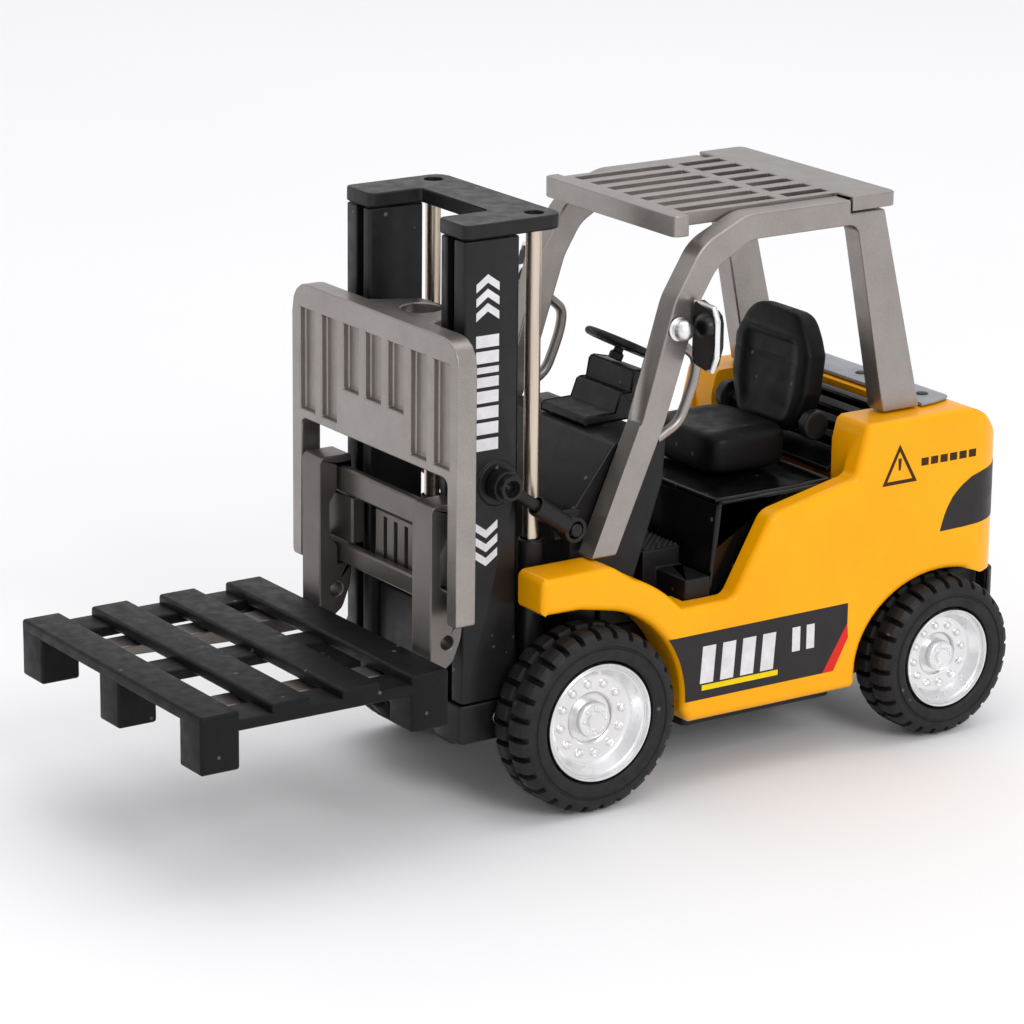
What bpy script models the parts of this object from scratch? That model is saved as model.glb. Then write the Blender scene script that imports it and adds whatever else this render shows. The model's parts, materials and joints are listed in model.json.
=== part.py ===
"""A toy counterbalance forklift with a pallet on its forks, as an assembly of separate solids.

The front of the truck faces -Y, its left side faces +X, and the wheels stand on Z = 0. Sizes are in
millimetres, measured along Y from the front axle, and place() turns them into metres from the origin.
"""

import math

import bmesh
import bpy
from mathutils import Matrix, Vector

MM = 0.001
GAP = 0.3

# Driving dimensions, in millimetres.
LENGTH_AHEAD_OF_FRONT_AXLE = 72.75
LENGTH_BEHIND_FRONT_AXLE = 86.25
FRONT_AXLE_Y = (LENGTH_AHEAD_OF_FRONT_AXLE - LENGTH_BEHIND_FRONT_AXLE) / 2

WHEELBASE = 70.1
FRONT_TYRE_RADIUS = 15.0
REAR_TYRE_RADIUS = 13.4
FRONT_RIM_RADIUS = 9.7
REAR_RIM_RADIUS = 8.4
TYRE_OUTER_X = 27.5
TYRE_WIDTH = 9.4
AXLE_RADIUS = 1.5

BODY_HALF_WIDTH = 25.1
BODY_WALL = 3.8
SILL_BOTTOM = 10.8
SILL_TOP = 30.2
FENDER_TOP = 39.5
FENDER_FRONT_Y = -9.8
FENDER_INNER_X = 18.0
DECK_TOP = 55.3
REAR_WALL_Y = 84.0

FLOOR_BOTTOM = 26.5
FLOOR_TOP = 29.6
HOOD_TOP = 45.0
HOOD_HALF_WIDTH = 19.6
HOOD_FRONT_Y = 27.6
HOOD_REAR_Y = 51.6
SEAT_HALF_WIDTH = 9.8

GUARD_INNER_X = 16.7
GUARD_OUTER_X = 20.9
ROOF_TOP = 92.4
ROOF_FRONT_Y = 18.8
ROOF_REAR_Y = 60.8
SLAB_FRONT_Y = 52.0

MAST_PIVOT_Y = -12.0
MAST_PIVOT_Z = 15.2
MAST_FRONT_Y = -19.6
MAST_BACK_Y = -9.5
COLUMN_INNER_X = 10.2
COLUMN_OUTER_X = 17.2
FOOT_BOTTOM = 12.0
FOOT_TOP = 18.3
MAST_TOP = 95.2
TOP_PLATE_THICKNESS = 2.3
ROD_X = 14.3
ROD_Y = -5.1
ROD_RADIUS = 1.25
BARREL_RADIUS = 2.1
BARREL_TOP = 43.0

TILT_EYE_Y = -13.4
TILT_EYE_Z = 53.9
TILT_PIVOT_Y = -0.6
TILT_PIVOT_Z = 45.0
TILT_NEAR_X = 18.0
TILT_FAR_X = 20.4

BACKREST_HALF_WIDTH = 24.3
BACKREST_FRONT_Y = -25.4
BACKREST_BACK_Y = -21.8
BACKREST_TOP = 79.3
BACKREST_PANEL_BOTTOM = 57.2
BACKREST_BOTTOM = 33.9
BACKREST_LEG_INNER_X = 21.4
BAR_FRONT_Y = -23.0
BAR_BACK_Y = -21.4
UPPER_BAR_Z = (46.3, 50.6)
LOWER_BAR_Z = (34.6, 38.0)

FORK_INNER_X = 13.7
FORK_OUTER_X = 19.1
FORK_FRONT_Y = -26.8
FORK_TIP_Y = -67.0
FORK_TOP = 52.4
BLADE_TOP = 27.1

PALLET_HALF_WIDTH = 28.3
PALLET_FRONT_Y = -LENGTH_AHEAD_OF_FRONT_AXLE
PALLET_REAR_Y = -29.2
PALLET_TOP = 29.5
PALLET_BOTTOM = 20.3
BOARD_WIDTH = 6.7
BOARD_COUNT = 4
BLOCK_DEPTH = 6.7

LOOKS = {
    "yellow_paint": ("FDB100", 0.28, 0.0),
    "black_satin": ("2B292A", 0.5, 0.0),
    "black_gloss": ("141315", 0.15, 0.0),
    "pewter_paint": ("8F8681", 0.45, 0.5),
    "gunmetal": ("4A4643", 0.35, 0.7),
    "chrome": ("DADBDC", 0.12, 1.0),
    "polished_steel": ("B9B2A6", 0.25, 1.0),
    "rubber": ("1F1F20", 0.75, 0.0),
    "grey_plate": ("8C8E93", 0.5, 0.0),
}


def place(x, y, z):
    """A point in millimetres from the front axle's middle, as metres from the origin."""
    return Vector((x, y + FRONT_AXLE_Y, z)) * MM


def clear_scene():
    for obj in list(bpy.data.objects):
        bpy.data.objects.remove(obj)


def new_collection(name):
    collection = bpy.data.collections.new(name)
    bpy.context.scene.collection.children.link(collection)
    return collection


def new_material(name, colour, roughness, metallic):
    material = bpy.data.materials.new(name)
    material.use_nodes = True
    shader = material.node_tree.nodes["Principled BSDF"]
    channels = [int(colour[i : i + 2], 16) / 255 for i in (0, 2, 4)]
    linear = [c / 12.92 if c <= 0.04045 else ((c + 0.055) / 1.055) ** 2.4 for c in channels]
    shader.inputs["Base Color"].default_value = (*linear, 1.0)
    shader.inputs["Roughness"].default_value = roughness
    shader.inputs["Metallic"].default_value = metallic
    return material


clear_scene()
PARTS = new_collection("toy_forklift")
CUTTERS = new_collection("cutters")
MATERIALS = {name: new_material(name, *look) for name, look in LOOKS.items()}


def add(name, mesh, look=None):
    """Puts a mesh in the scene: a part if it has a look, and otherwise a cutter."""
    obj = bpy.data.objects.new(name, mesh)
    if look is None:
        CUTTERS.objects.link(obj)
        obj.hide_render = True
        obj.display_type = "WIRE"
    else:
        PARTS.objects.link(obj)
        obj.data.materials.append(MATERIALS[look])
    return obj


def bevelled(obj, width, segments=1):
    modifier = obj.modifiers.new("rounded_edges", "BEVEL")
    modifier.width = width * MM
    modifier.segments = segments
    modifier.limit_method = "ANGLE"
    modifier.angle_limit = math.radians(40)
    return obj


def combine(obj, operation, *others):
    for other in others:
        modifier = obj.modifiers.new(other.name, "BOOLEAN")
        modifier.operation = operation
        modifier.solver = "EXACT"
        modifier.object = other
    return obj


def cut(obj, *cutters):
    return combine(obj, "DIFFERENCE", *cutters)


def join(obj, *others):
    return combine(obj, "UNION", *others)


def box(name, xs, ys, zs, look=None, bevel=0.0):
    """A block between two values on each axis."""
    low = place(xs[0], ys[0], zs[0])
    high = place(xs[1], ys[1], zs[1])
    shape = bmesh.new()
    bmesh.ops.create_cube(shape, size=1.0)
    bmesh.ops.scale(shape, vec=high - low, verts=shape.verts)
    mesh = bpy.data.meshes.new(name)
    shape.to_mesh(mesh)
    shape.free()
    obj = add(name, mesh, look)
    obj.location = (low + high) / 2
    return bevelled(obj, bevel) if bevel else obj


# Each turns a shape's own Z axis to the world axis of its name, and keeps it right-handed.
TURNS = {
    "X": Matrix(((0, 0, 1), (1, 0, 0), (0, 1, 0))).to_euler(),
    "Y": Matrix(((1, 0, 0), (0, 0, -1), (0, 1, 0))).to_euler(),
    "Z": Matrix.Identity(3).to_euler(),
}


def rounded(corners, steps=4):
    """An outline from corners (u, v) or (u, v, radius), where a radius rounds its corner."""
    points = []
    for index, corner in enumerate(corners):
        here = Vector(corner[:2])
        if len(corner) == 2:
            points.append(tuple(here))
            continue
        radius = corner[2]
        before = (Vector(corners[index - 1][:2]) - here).normalized()
        after = (Vector(corners[(index + 1) % len(corners)][:2]) - here).normalized()
        half = before.angle(after) / 2
        centre = here + (before + after).normalized() * radius / math.sin(half)
        start = here + before * radius / math.tan(half) - centre
        end = here + after * radius / math.tan(half) - centre
        turn = -start.angle_signed(end)
        for step in range(steps + 1):
            points.append(tuple(centre + Matrix.Rotation(turn * step / steps, 2) @ start))
    return points


def arc(centre, radii, start, end, steps=8):
    """Points on an arc or on part of an ellipse, with its angles in degrees."""
    angles = [math.radians(start + (end - start) * step / steps) for step in range(steps + 1)]
    return [(centre[0] + radii[0] * math.cos(a), centre[1] + radii[1] * math.sin(a)) for a in angles]


def prism(name, axis, outline, ends, look=None, bevel=0.0):
    """A flat outline given thickness along an axis, as a closed mesh.

    The outline is in (y, z) for the X axis, (x, z) for the Y axis and (x, y) for the Z axis.
    """
    curve = bpy.data.curves.new(name, "CURVE")
    curve.dimensions = "2D"
    curve.fill_mode = "BOTH"
    curve.extrude = (ends[1] - ends[0]) / 2 * MM
    spline = curve.splines.new("POLY")
    spline.points.add(len(outline) - 1)
    shift = {"X": (FRONT_AXLE_Y, 0), "Y": (0, 0), "Z": (0, FRONT_AXLE_Y)}[axis]
    for point, (u, v) in zip(spline.points, outline):
        point.co = ((u + shift[0]) * MM, (v + shift[1]) * MM, 0, 1)
    spline.use_cyclic_u = True
    guide = bpy.data.objects.new(name + "_outline", curve)
    bpy.context.scene.collection.objects.link(guide)
    graph = bpy.context.evaluated_depsgraph_get()
    mesh = bpy.data.meshes.new_from_object(guide.evaluated_get(graph))
    bpy.data.objects.remove(guide)
    shape = bmesh.new()
    shape.from_mesh(mesh)
    bmesh.ops.remove_doubles(shape, verts=shape.verts, dist=0.001 * MM)
    bmesh.ops.recalc_face_normals(shape, faces=shape.faces)
    shape.to_mesh(mesh)
    shape.free()
    mesh.name = name
    mesh.materials.clear()
    obj = add(name, mesh, look)
    obj.rotation_euler = TURNS[axis]
    middle = (ends[0] + ends[1]) / 2
    offsets = {"X": (middle, 0, 0), "Y": (0, middle + FRONT_AXLE_Y, 0), "Z": (0, 0, middle)}
    obj.location = Vector(offsets[axis]) * MM
    return bevelled(obj, bevel) if bevel else obj


def smooth(obj):
    """Shades a round piece smooth, and keeps its edges over 30 degrees sharp."""
    obj.data.shade_smooth()
    obj.data.set_sharp_from_angle(angle=math.radians(30))
    return obj


def cylinder(name, axis, centre, radius, length, look=None, segments=20):
    shape = bmesh.new()
    bmesh.ops.create_cone(
        shape,
        cap_ends=True,
        segments=segments,
        radius1=radius * MM,
        radius2=radius * MM,
        depth=length * MM,
    )
    mesh = bpy.data.meshes.new(name)
    shape.to_mesh(mesh)
    shape.free()
    obj = smooth(add(name, mesh, look))
    obj.rotation_euler = TURNS[axis]
    obj.location = place(*centre)
    return obj


def turned(name, profile, centre, look=None, axis="X", flip=False, steps=28, closed=False):
    """A profile of (radius, height) points, top to bottom, turned about an axis.

    The height runs along the axis, or against it if flip is set.
    """
    mesh = bpy.data.meshes.new(name)
    points = [(radius * MM, 0.0, height * MM) for radius, height in profile]
    edges = [(i, i + 1) for i in range(len(points) - 1)]
    if closed:
        edges.append((len(points) - 1, 0))
    mesh.from_pydata(points, edges, [])
    obj = add(name, mesh, look)
    screw = obj.modifiers.new("turned", "SCREW")
    screw.steps = steps
    screw.render_steps = steps
    screw.use_merge_vertices = True
    screw.merge_threshold = 0.01 * MM
    screw.use_smooth_shade = True
    turn = TURNS[axis].to_matrix()
    if flip:
        turn = turn @ Matrix.Rotation(math.pi, 3, "Y")
    obj.rotation_euler = turn.to_euler()
    obj.location = place(*centre)
    return obj


def pivot(name, x, y, z, parent=None):
    """An empty on a joint's axis. The pieces that move about it are its children."""
    empty = bpy.data.objects.new(name, None)
    PARTS.objects.link(empty)
    empty.location = place(x, y, z)
    if parent:
        empty.location -= Vector(parent["at"])
        empty.parent = parent
    empty["at"] = place(x, y, z)
    return empty


def hang(empty, *pieces):
    """Makes the pieces children of an empty, and leaves them where they are."""
    for piece in pieces:
        piece.parent = empty
        piece.matrix_parent_inverse = Matrix.Translation(Vector(empty["at"])).inverted()


def both(side, near, far):
    """The range from near to far on the left side, or its mirror image on the right."""
    return (near, far) if side > 0 else (-far, -near)


SIDES = (("left", 1), ("right", -1))


def make_chassis():
    """The black tray under the body, which carries both axles and the mast's pivot."""
    tray = prism(
        "chassis",
        "Z",
        rounded(
            [
                (-8.4, -15.6, 1.0),
                (8.4, -15.6, 1.0),
                (8.4, 3.8),
                (15.4, 3.4),
                (15.4, 20.2),
                (20.8, 20.6, 1.0),
                (20.8, 50.6, 1.0),
                (14.0, 51.0),
                (14.0, 77.2, 1.0),
                (-14.0, 77.2, 1.0),
                (-14.0, 51.0),
                (-20.8, 50.6, 1.0),
                (-20.8, 20.6, 1.0),
                (-15.4, 20.2),
                (-15.4, 3.4),
                (-8.4, 3.8),
            ],
            steps=2,
        ),
        (8.6, 26.1),
        "black_satin",
    )
    nose_top = box("nose_top_cut", (-9, 9), (-17, 2.6), (20.4, 30))
    bores = [
        cylinder("front_axle_bore", "X", (0, 0, FRONT_TYRE_RADIUS), AXLE_RADIUS + GAP, 60),
        cylinder("rear_axle_bore", "X", (0, WHEELBASE, REAR_TYRE_RADIUS), AXLE_RADIUS + GAP, 60),
        cylinder("mast_pin_bore", "X", (0, MAST_PIVOT_Y, MAST_PIVOT_Z), 1.8, 40),
    ]
    cut(tray, nose_top, *bores)
    bumper = prism(
        "rear_bumper",
        "Z",
        rounded(
            [
                (-17.2, 77.6),
                (17.2, 77.6),
                (17.2, 84.0),
                (19.6, 84.2),
                (19.6, LENGTH_BEHIND_FRONT_AXLE, 1.6),
                (-19.6, LENGTH_BEHIND_FRONT_AXLE, 1.6),
                (-19.6, 84.2),
                (-17.2, 84.0),
            ],
            steps=2,
        ),
        (17.8, 25.0),
        "black_satin",
        bevel=0.4,
    )
    recess = box("bumper_slot", (-4.2, 4.2), (81.4, 88), (20.0, 22.8))
    hole = cylinder("tow_pin_hole", "Z", (0, 83.4, 21.2), 1.2, 12, segments=16)
    cut(bumper, recess, hole)
    pin_profile = [(0, 4.9), (1.5, 4.9), (1.8, 4.5), (1.8, 4.1), (0.85, 4.1), (0.85, -4.6), (0, -4.6)]
    turned("tow_pin", pin_profile, (0, 83.4, 21.2), "black_satin", axis="Z", steps=16)


def body_outline():
    """The body's side view, clockwise from the front fender's lower edge."""
    front_wheel = (0, FRONT_TYRE_RADIUS)
    rear_wheel = (WHEELBASE, REAR_TYRE_RADIUS)
    upper = [
        (FENDER_FRONT_Y, 33.3, 1.2),
        (FENDER_FRONT_Y, FENDER_TOP, 1.2),
        (3.4, FENDER_TOP, 5.0),
        *arc(front_wheel, (23.0, 23.0), 70, 41.4, 8),
        (27.2, SILL_TOP, 2.0),
        (34.6, 43.1, 3.0),
        (51.4, 46.6, 1.6),
        (53.6, DECK_TOP, 1.4),
        (76.6, DECK_TOP, 7.0),
        (83.2, 48.2, 4.0),
        (REAR_WALL_Y, 38.0),
        (83.6, 26.5, 1.3),
    ]
    lower = [
        *arc(rear_wheel, (17.6, 14.8), 62, 186, 20),
        (52.7, SILL_BOTTOM, 1.3),
        (18.8, SILL_BOTTOM, 1.3),
        *arc(front_wheel, (17.5, 17.5), -6, 82, 16),
        (-2.5, 33.3, 3.0),
    ]
    return rounded(upper + lower, steps=6)


def make_body():
    """The yellow shell: fenders, sills and the hollow counterweight."""
    inner_x = BODY_HALF_WIDTH - BODY_WALL
    shell = prism("body_shell", "X", body_outline(), (-26, 26), "yellow_paint")
    half = BODY_HALF_WIDTH
    plan = rounded(
        [
            (-half, -9.9, 1.8),
            (half, -9.9, 1.8),
            (half, REAR_WALL_Y + 0.1, 8.0),
            (-half, REAR_WALL_Y + 0.1, 8.0),
        ],
        steps=8,
    )
    combine(shell, "INTERSECT", prism("body_plan", "Z", plan, (0, 70)))
    cut(
        shell,
        box("front_gap", (-FENDER_INNER_X, FENDER_INNER_X), (-20, 20), (5, 60)),
        box("cab_gap", (-inner_x, inner_x), (20 - GAP, 52.6), (5, 60)),
        box("tunnel", (-16, 16), (50, 77.6), (5, 29)),
        box("counterweight_hollow", (-21.6, 21.6), (54.8, 79.0), (5, 51.6)),
        box("vent_gap", (-16.6, 16.6), (50, 66.6), (30, 60)),
        box("bumper_gap", (-20, 20), (77, 90), (5, 26.2)),
    )


def make_cab():
    """The black inner mouldings: floor, plinth, cowl, console and the rear vents."""
    inner_x = BODY_HALF_WIDTH - BODY_WALL - GAP
    floor = box("cab_floor", (-inner_x, inner_x), (20.3, 51.8), (FLOOR_BOTTOM, FLOOR_TOP), "black_satin")
    join(
        floor,
        box("floor_front", (-16.2, 16.2), (7.0, 20.6), (FLOOR_BOTTOM, FLOOR_TOP)),
        box("step_tread_left", (8.0, inner_x), (20.4, 25.4), (28.0, 33.4)),
        box("step_tread_right", (-inner_x, -8.0), (20.4, 25.4), (28.0, 33.4)),
        box("toe_board", (-13.0, 13.0), (17.6, 25.0), (28.0, 36.6)),
    )
    hood = [
        (25.9, FLOOR_TOP + GAP),
        (HOOD_REAR_Y, FLOOR_TOP + GAP),
        (HOOD_REAR_Y, HOOD_TOP, 0.8),
        (HOOD_FRONT_Y, HOOD_TOP, 1.2),
    ]
    hood_x = (-HOOD_HALF_WIDTH, HOOD_HALF_WIDTH)
    prism("engine_hood", "X", rounded(hood, steps=2), hood_x, "black_gloss", bevel=0.9)

    cowl_side = rounded(
        [
            (1.2, 26.5),
            (6.0, 26.5),
            (6.6, 30.0),
            (12.4, 30.0),
            (19.0, 49.0, 2.0),
            (19.6, 56.6, 1.0),
            (9.3, 56.6, 1.0),
            (1.2, 46.4, 2.0),
        ],
        steps=2,
    )
    cowl = prism("cowl", "X", cowl_side, (-16.2, 16.2), "black_satin")
    for name, side in SIDES:
        peg_x = side * (16.0 + (TILT_FAR_X - 16.0) / 2 + 0.2)
        centre = (peg_x, TILT_PIVOT_Y, TILT_PIVOT_Z)
        join(cowl, box(name + "_ear", both(side, 15.9, 17.2), (-2.4, 2.6), (42.8, 47.2)))
        join(cowl, cylinder(name + "_peg", "X", centre, 1.1, TILT_FAR_X - 15.6, segments=16))

    console_side = rounded(
        [
            (10.6, 56.9),
            (22.6, 56.9),
            (24.2, 64.0, 0.8),
            (20.0, 65.0, 0.6),
            (19.4, 61.4),
            (17.6, 61.6, 0.6),
            (16.4, 58.4),
            (10.6, 58.4, 0.6),
        ],
        steps=2,
    )
    prism("dash_console", "X", console_side, (-6.3, 6.3), "black_satin", bevel=0.3)

    vents = rounded([(52.1, 45.4), (66.2, 45.4), (66.2, 55.4, 0.8), (52.1, 46.2)], steps=2)
    panel = prism("vent_panel", "X", vents, (-16.2, 16.2), "black_gloss")
    slope = math.atan2(55.4 - 46.2, 66.2 - 52.1)
    for index in range(4):
        y = 56.4 + 2.5 * index
        z = 46.2 + (y - 52.1) * math.tan(slope)
        slot = box(f"vent_slot_{index}", (-13.0, 13.0), (y - 0.6, y + 0.6), (z - 1.8, z + 2))
        cut(panel, slot)


def make_deck_plate():
    """The grey plate on the counterweight, with its three screw heads."""
    plan = rounded([(-20.8, 67.8, 0.8), (20.8, 67.8, 0.8), (18.6, 76.4, 5.0), (-18.6, 76.4, 5.0)], steps=3)
    plate = prism("deck_plate", "Z", plan, (DECK_TOP + GAP, DECK_TOP + GAP + 0.5), "grey_plate")
    for index, x in enumerate((-16.0, 0.0, 16.0)):
        head = cylinder(f"deck_screw_{index}", "Z", (x, 71.6, DECK_TOP + 0.9), 1.2, 0.8, segments=12)
        join(plate, head)


def make_seat():
    """The seat: base, cushion, and a back with its two hinge hubs."""
    half = SEAT_HALF_WIDTH
    box("seat_base", (-half + 1, half - 1), (35.0, 49.4), (HOOD_TOP + GAP, 47.2), "black_satin", bevel=0.5)
    cushion = [(33.8, 47.5, 0.8), (49.6, 47.5, 0.8), (49.6, 51.4, 1.2), (40.0, 52.4), (33.8, 52.8, 2.4)]
    cushion_x = (-half, half)
    prism("seat_cushion", "X", rounded(cushion, steps=2), cushion_x, "black_satin", bevel=1.2)
    back = rounded(
        [
            (-7.6, 50.0, 1.5),
            (7.6, 50.0, 1.5),
            (10.2, 56.0, 2.0),
            (10.2, 66.0, 3.0),
            (6.0, 71.6, 1.5),
            (-6.0, 71.6, 1.5),
            (-10.2, 66.0, 3.0),
            (-10.2, 56.0, 2.0),
        ],
        steps=2,
    )
    seat_back = prism("seat_back", "Y", back, (50.2, 55.0), "black_satin", bevel=1.2)
    lean = math.radians(-6)
    foot = Vector((0, 50.2, 50.0))
    top_pull = Matrix.Rotation(lean, 3, "X")
    middle = Vector((0, (50.2 + 55.0) / 2, 0))
    moved = foot + top_pull @ (middle - foot)
    seat_back.rotation_euler = (top_pull @ TURNS["Y"].to_matrix()).to_euler()
    seat_back.location = place(*moved)
    hub_x = SEAT_HALF_WIDTH + 0.8
    shaft_profile = [
        (0, hub_x + 2.0),
        (2.2, hub_x + 2.0),
        (2.5, hub_x + 1.7),
        (2.5, hub_x),
        (0.8, hub_x),
        (0.8, -hub_x),
        (2.5, -hub_x),
        (2.5, -hub_x - 1.7),
        (2.2, -hub_x - 2.0),
        (0, -hub_x - 2.0),
    ]
    turned("recline_shaft", shaft_profile, (0, 52.6, 52.4), "black_satin", steps=16)
    cut(seat_back, cylinder("shaft_bore", "X", (0, 52.6, 52.4), 0.8 + GAP, 30, segments=16))


def make_steering():
    """The steering column and wheel, whose pivot leans towards the driver."""
    centre = Vector((0, 21.8, 67.6))
    lean = math.radians(-27)
    turn = Matrix.Rotation(lean, 3, "X")
    axis = turn @ Vector((0, 0, 1))
    column_profile = [(0, -0.5), (0.8, -0.5), (0.8, -1.2), (1.2, -1.5), (1.2, -2.6), (0, -2.6)]
    column = turned("steering_column", column_profile, (0, 0, 0), "black_satin", axis="Z", steps=16)
    column.rotation_euler = turn.to_euler()
    column.location = place(*centre)
    bpy.ops.mesh.primitive_torus_add(
        major_segments=20, minor_segments=6, major_radius=5.6 * MM, minor_radius=0.75 * MM
    )
    wheel = bpy.context.object
    wheel.name = "steering_wheel"
    for collection in wheel.users_collection:
        collection.objects.unlink(wheel)
    PARTS.objects.link(wheel)
    wheel.data.materials.append(MATERIALS["black_satin"])
    hub = cylinder("wheel_hub", "Z", (0, 0, 0), 1.7, 1.2, segments=16)
    spokes = []
    for index, angle in enumerate((0, 120, 240)):
        spoke = box(f"wheel_spoke_{index}", (0.4, 5.4), (-0.6, 0.6), (-0.35, 0.35))
        spin = Matrix.Rotation(math.radians(angle + 90), 3, "Z")
        spoke.rotation_euler = (turn @ spin).to_euler()
        spoke.location = place(*(centre + turn @ spin @ Vector((2.9, 0, 0))))
        spokes.append(spoke)
    for piece in (wheel, hub):
        piece.rotation_euler = turn.to_euler()
        piece.location = place(*(centre + axis * 0.2))
    join(wheel, hub, *spokes)


def make_guard():
    """The overhead guard: two side frames, the grille roof, handles and mirrors."""
    side_view = rounded(
        [
            (2.1, FENDER_TOP + GAP),
            (6.9, FENDER_TOP + GAP),
            (16.0, 60.4, 12.0),
            (22.3, 79.0, 6.0),
            (25.4, 84.0, 6.0),
            (32.0, 87.7, 6.0),
            (53.2, 87.7, 2.2),
            (59.7, DECK_TOP + GAP),
            (67.2, DECK_TOP + GAP),
            (58.6, 89.7),
            (51.7, 89.7),
            (51.7, 91.9),
            (31.0, 91.9, 8.0),
            (22.4, 88.0, 8.0),
            (17.3, 79.7, 8.0),
            (11.6, 61.0, 14.0),
        ],
        steps=8,
    )
    for name, side in SIDES:
        ends = both(side, GUARD_INNER_X, GUARD_OUTER_X)
        prism(f"guard_frame_{name}", "X", side_view, ends, "pewter_paint", bevel=0.35)

    half = GUARD_INNER_X - GAP
    grille = box("roof_grille", (-half, half), (ROOF_FRONT_Y, ROOF_REAR_Y), (90.2, ROOF_TOP), "pewter_paint")
    join(
        grille,
        prism(
            "header",
            "Z",
            rounded([(-18.3, 18.7, 1.2), (18.3, 18.7, 1.2), (18.3, 21.6), (-18.3, 21.6)], steps=2),
            (89.0, ROOF_TOP),
        ),
        prism(
            "rear_slab",
            "Z",
            rounded([(-20.9, SLAB_FRONT_Y), (20.9, SLAB_FRONT_Y), (20.9, 60.9, 1.2), (-20.9, 60.9, 1.2)], 2),
            (90.0, ROOF_TOP),
        ),
    )
    pitch = 4.6
    for index in range(7):
        middle = (index - 3) * pitch
        slot_x = (middle - 1.35, middle + 1.35)
        cut(
            grille,
            box(f"front_slot_{index}", slot_x, (22.4, 41.0), (80, 100)),
            box(f"rear_slot_{index}", slot_x, (43.2, 51.6), (80, 100)),
        )

    handle = [(20.4, 71.0), (22.2, 69.0), (21.8, 66.5), (20.4, 62.4), (18.8, 59.4), (15.9, 57.7)]
    for name, side in SIDES:
        curve = bpy.data.curves.new(f"grab_handle_{name}", "CURVE")
        curve.dimensions = "3D"
        curve.bevel_depth = 0.95 * MM
        curve.bevel_resolution = 2
        curve.use_fill_caps = True
        spline = curve.splines.new("POLY")
        spline.points.add(len(handle) - 1)
        for point, (y, z) in zip(spline.points, handle):
            point.co = (*place(side * 18.8, y + 0.9, z), 1)
        rail = bpy.data.objects.new(curve.name, curve)
        PARTS.objects.link(rail)
        curve.materials.append(MATERIALS["pewter_paint"])

        stud_profile = [(0, 3.2), (1.0, 3.0), (1.75, 2.2), (1.95, 1.4), (1.7, 0.6), (0.9, 0.3), (0, 0.3)]
        stud_centre = (side * GUARD_OUTER_X, 17.9, 75.2)
        turned(f"mirror_stud_{name}", stud_profile, stud_centre, "chrome", flip=side < 0, steps=16)
        near, far = GUARD_OUTER_X + 0.4, GUARD_OUTER_X + 6.8
        housing = rounded(
            [
                (side * near, 69.4, 1.0),
                (side * (far - 1.6), 68.6, 1.6),
                (side * far, 73.0, 1.6),
                (side * far, 78.4, 1.8),
                (side * near, 80.0, 1.0),
            ],
            steps=2,
        )
        prism(f"mirror_{name}", "Y", housing, (20.2, 22.0), "black_gloss", bevel=0.35)


def make_wheels():
    """Two wheel sets: tyres on rims, each pair pressed on a steel axle that turns in the chassis."""
    sets = (
        ("front", 0.0, FRONT_TYRE_RADIUS, FRONT_RIM_RADIUS),
        ("rear", WHEELBASE, REAR_TYRE_RADIUS, REAR_RIM_RADIUS),
    )
    for name, y, tyre_radius, rim_radius in sets:
        spindle = pivot(f"{name}_wheels_turn", 0, y, tyre_radius)
        axle = cylinder(
            f"{name}_axle", "X", (0, y, tyre_radius), AXLE_RADIUS, 47.0, "polished_steel", segments=16
        )
        hang(spindle, axle)
        for side_name, side in SIDES:
            inner = -TYRE_WIDTH
            wall = tyre_radius - 1.6
            bead = rim_radius + GAP
            tyre_profile = [
                (bead, -0.7),
                (bead + 1.6, 0.0),
                (wall, -0.2),
                (tyre_radius, -1.5),
                (tyre_radius, inner + 1.5),
                (wall, inner + 0.2),
                (bead + 1.6, inner),
                (bead, inner + 0.7),
            ]
            dish = rim_radius - 1.9
            rim_profile = [
                (0, -1.6),
                (1.9, -1.6),
                (2.6, -1.9),
                (3.4, -3.2),
                (dish - 0.5, -3.2),
                (dish, -2.8),
                (rim_radius - 1.0, -0.7),
                (rim_radius - 0.8, -0.3),
                (rim_radius, -0.3),
                (rim_radius, inner + 1.2),
                (AXLE_RADIUS + GAP, inner + 1.2),
                (AXLE_RADIUS + GAP, -3.6),
                (0, -3.6),
            ]
            at = (side * TYRE_OUTER_X, y, tyre_radius)
            tyre = turned(
                f"{name}_tyre_{side_name}", tyre_profile, at, "rubber", flip=side < 0, steps=40, closed=True
            )
            rim = turned(f"{name}_rim_{side_name}", rim_profile, at, "chrome", flip=side < 0, steps=32)
            hang(spindle, tyre, rim)


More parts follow.
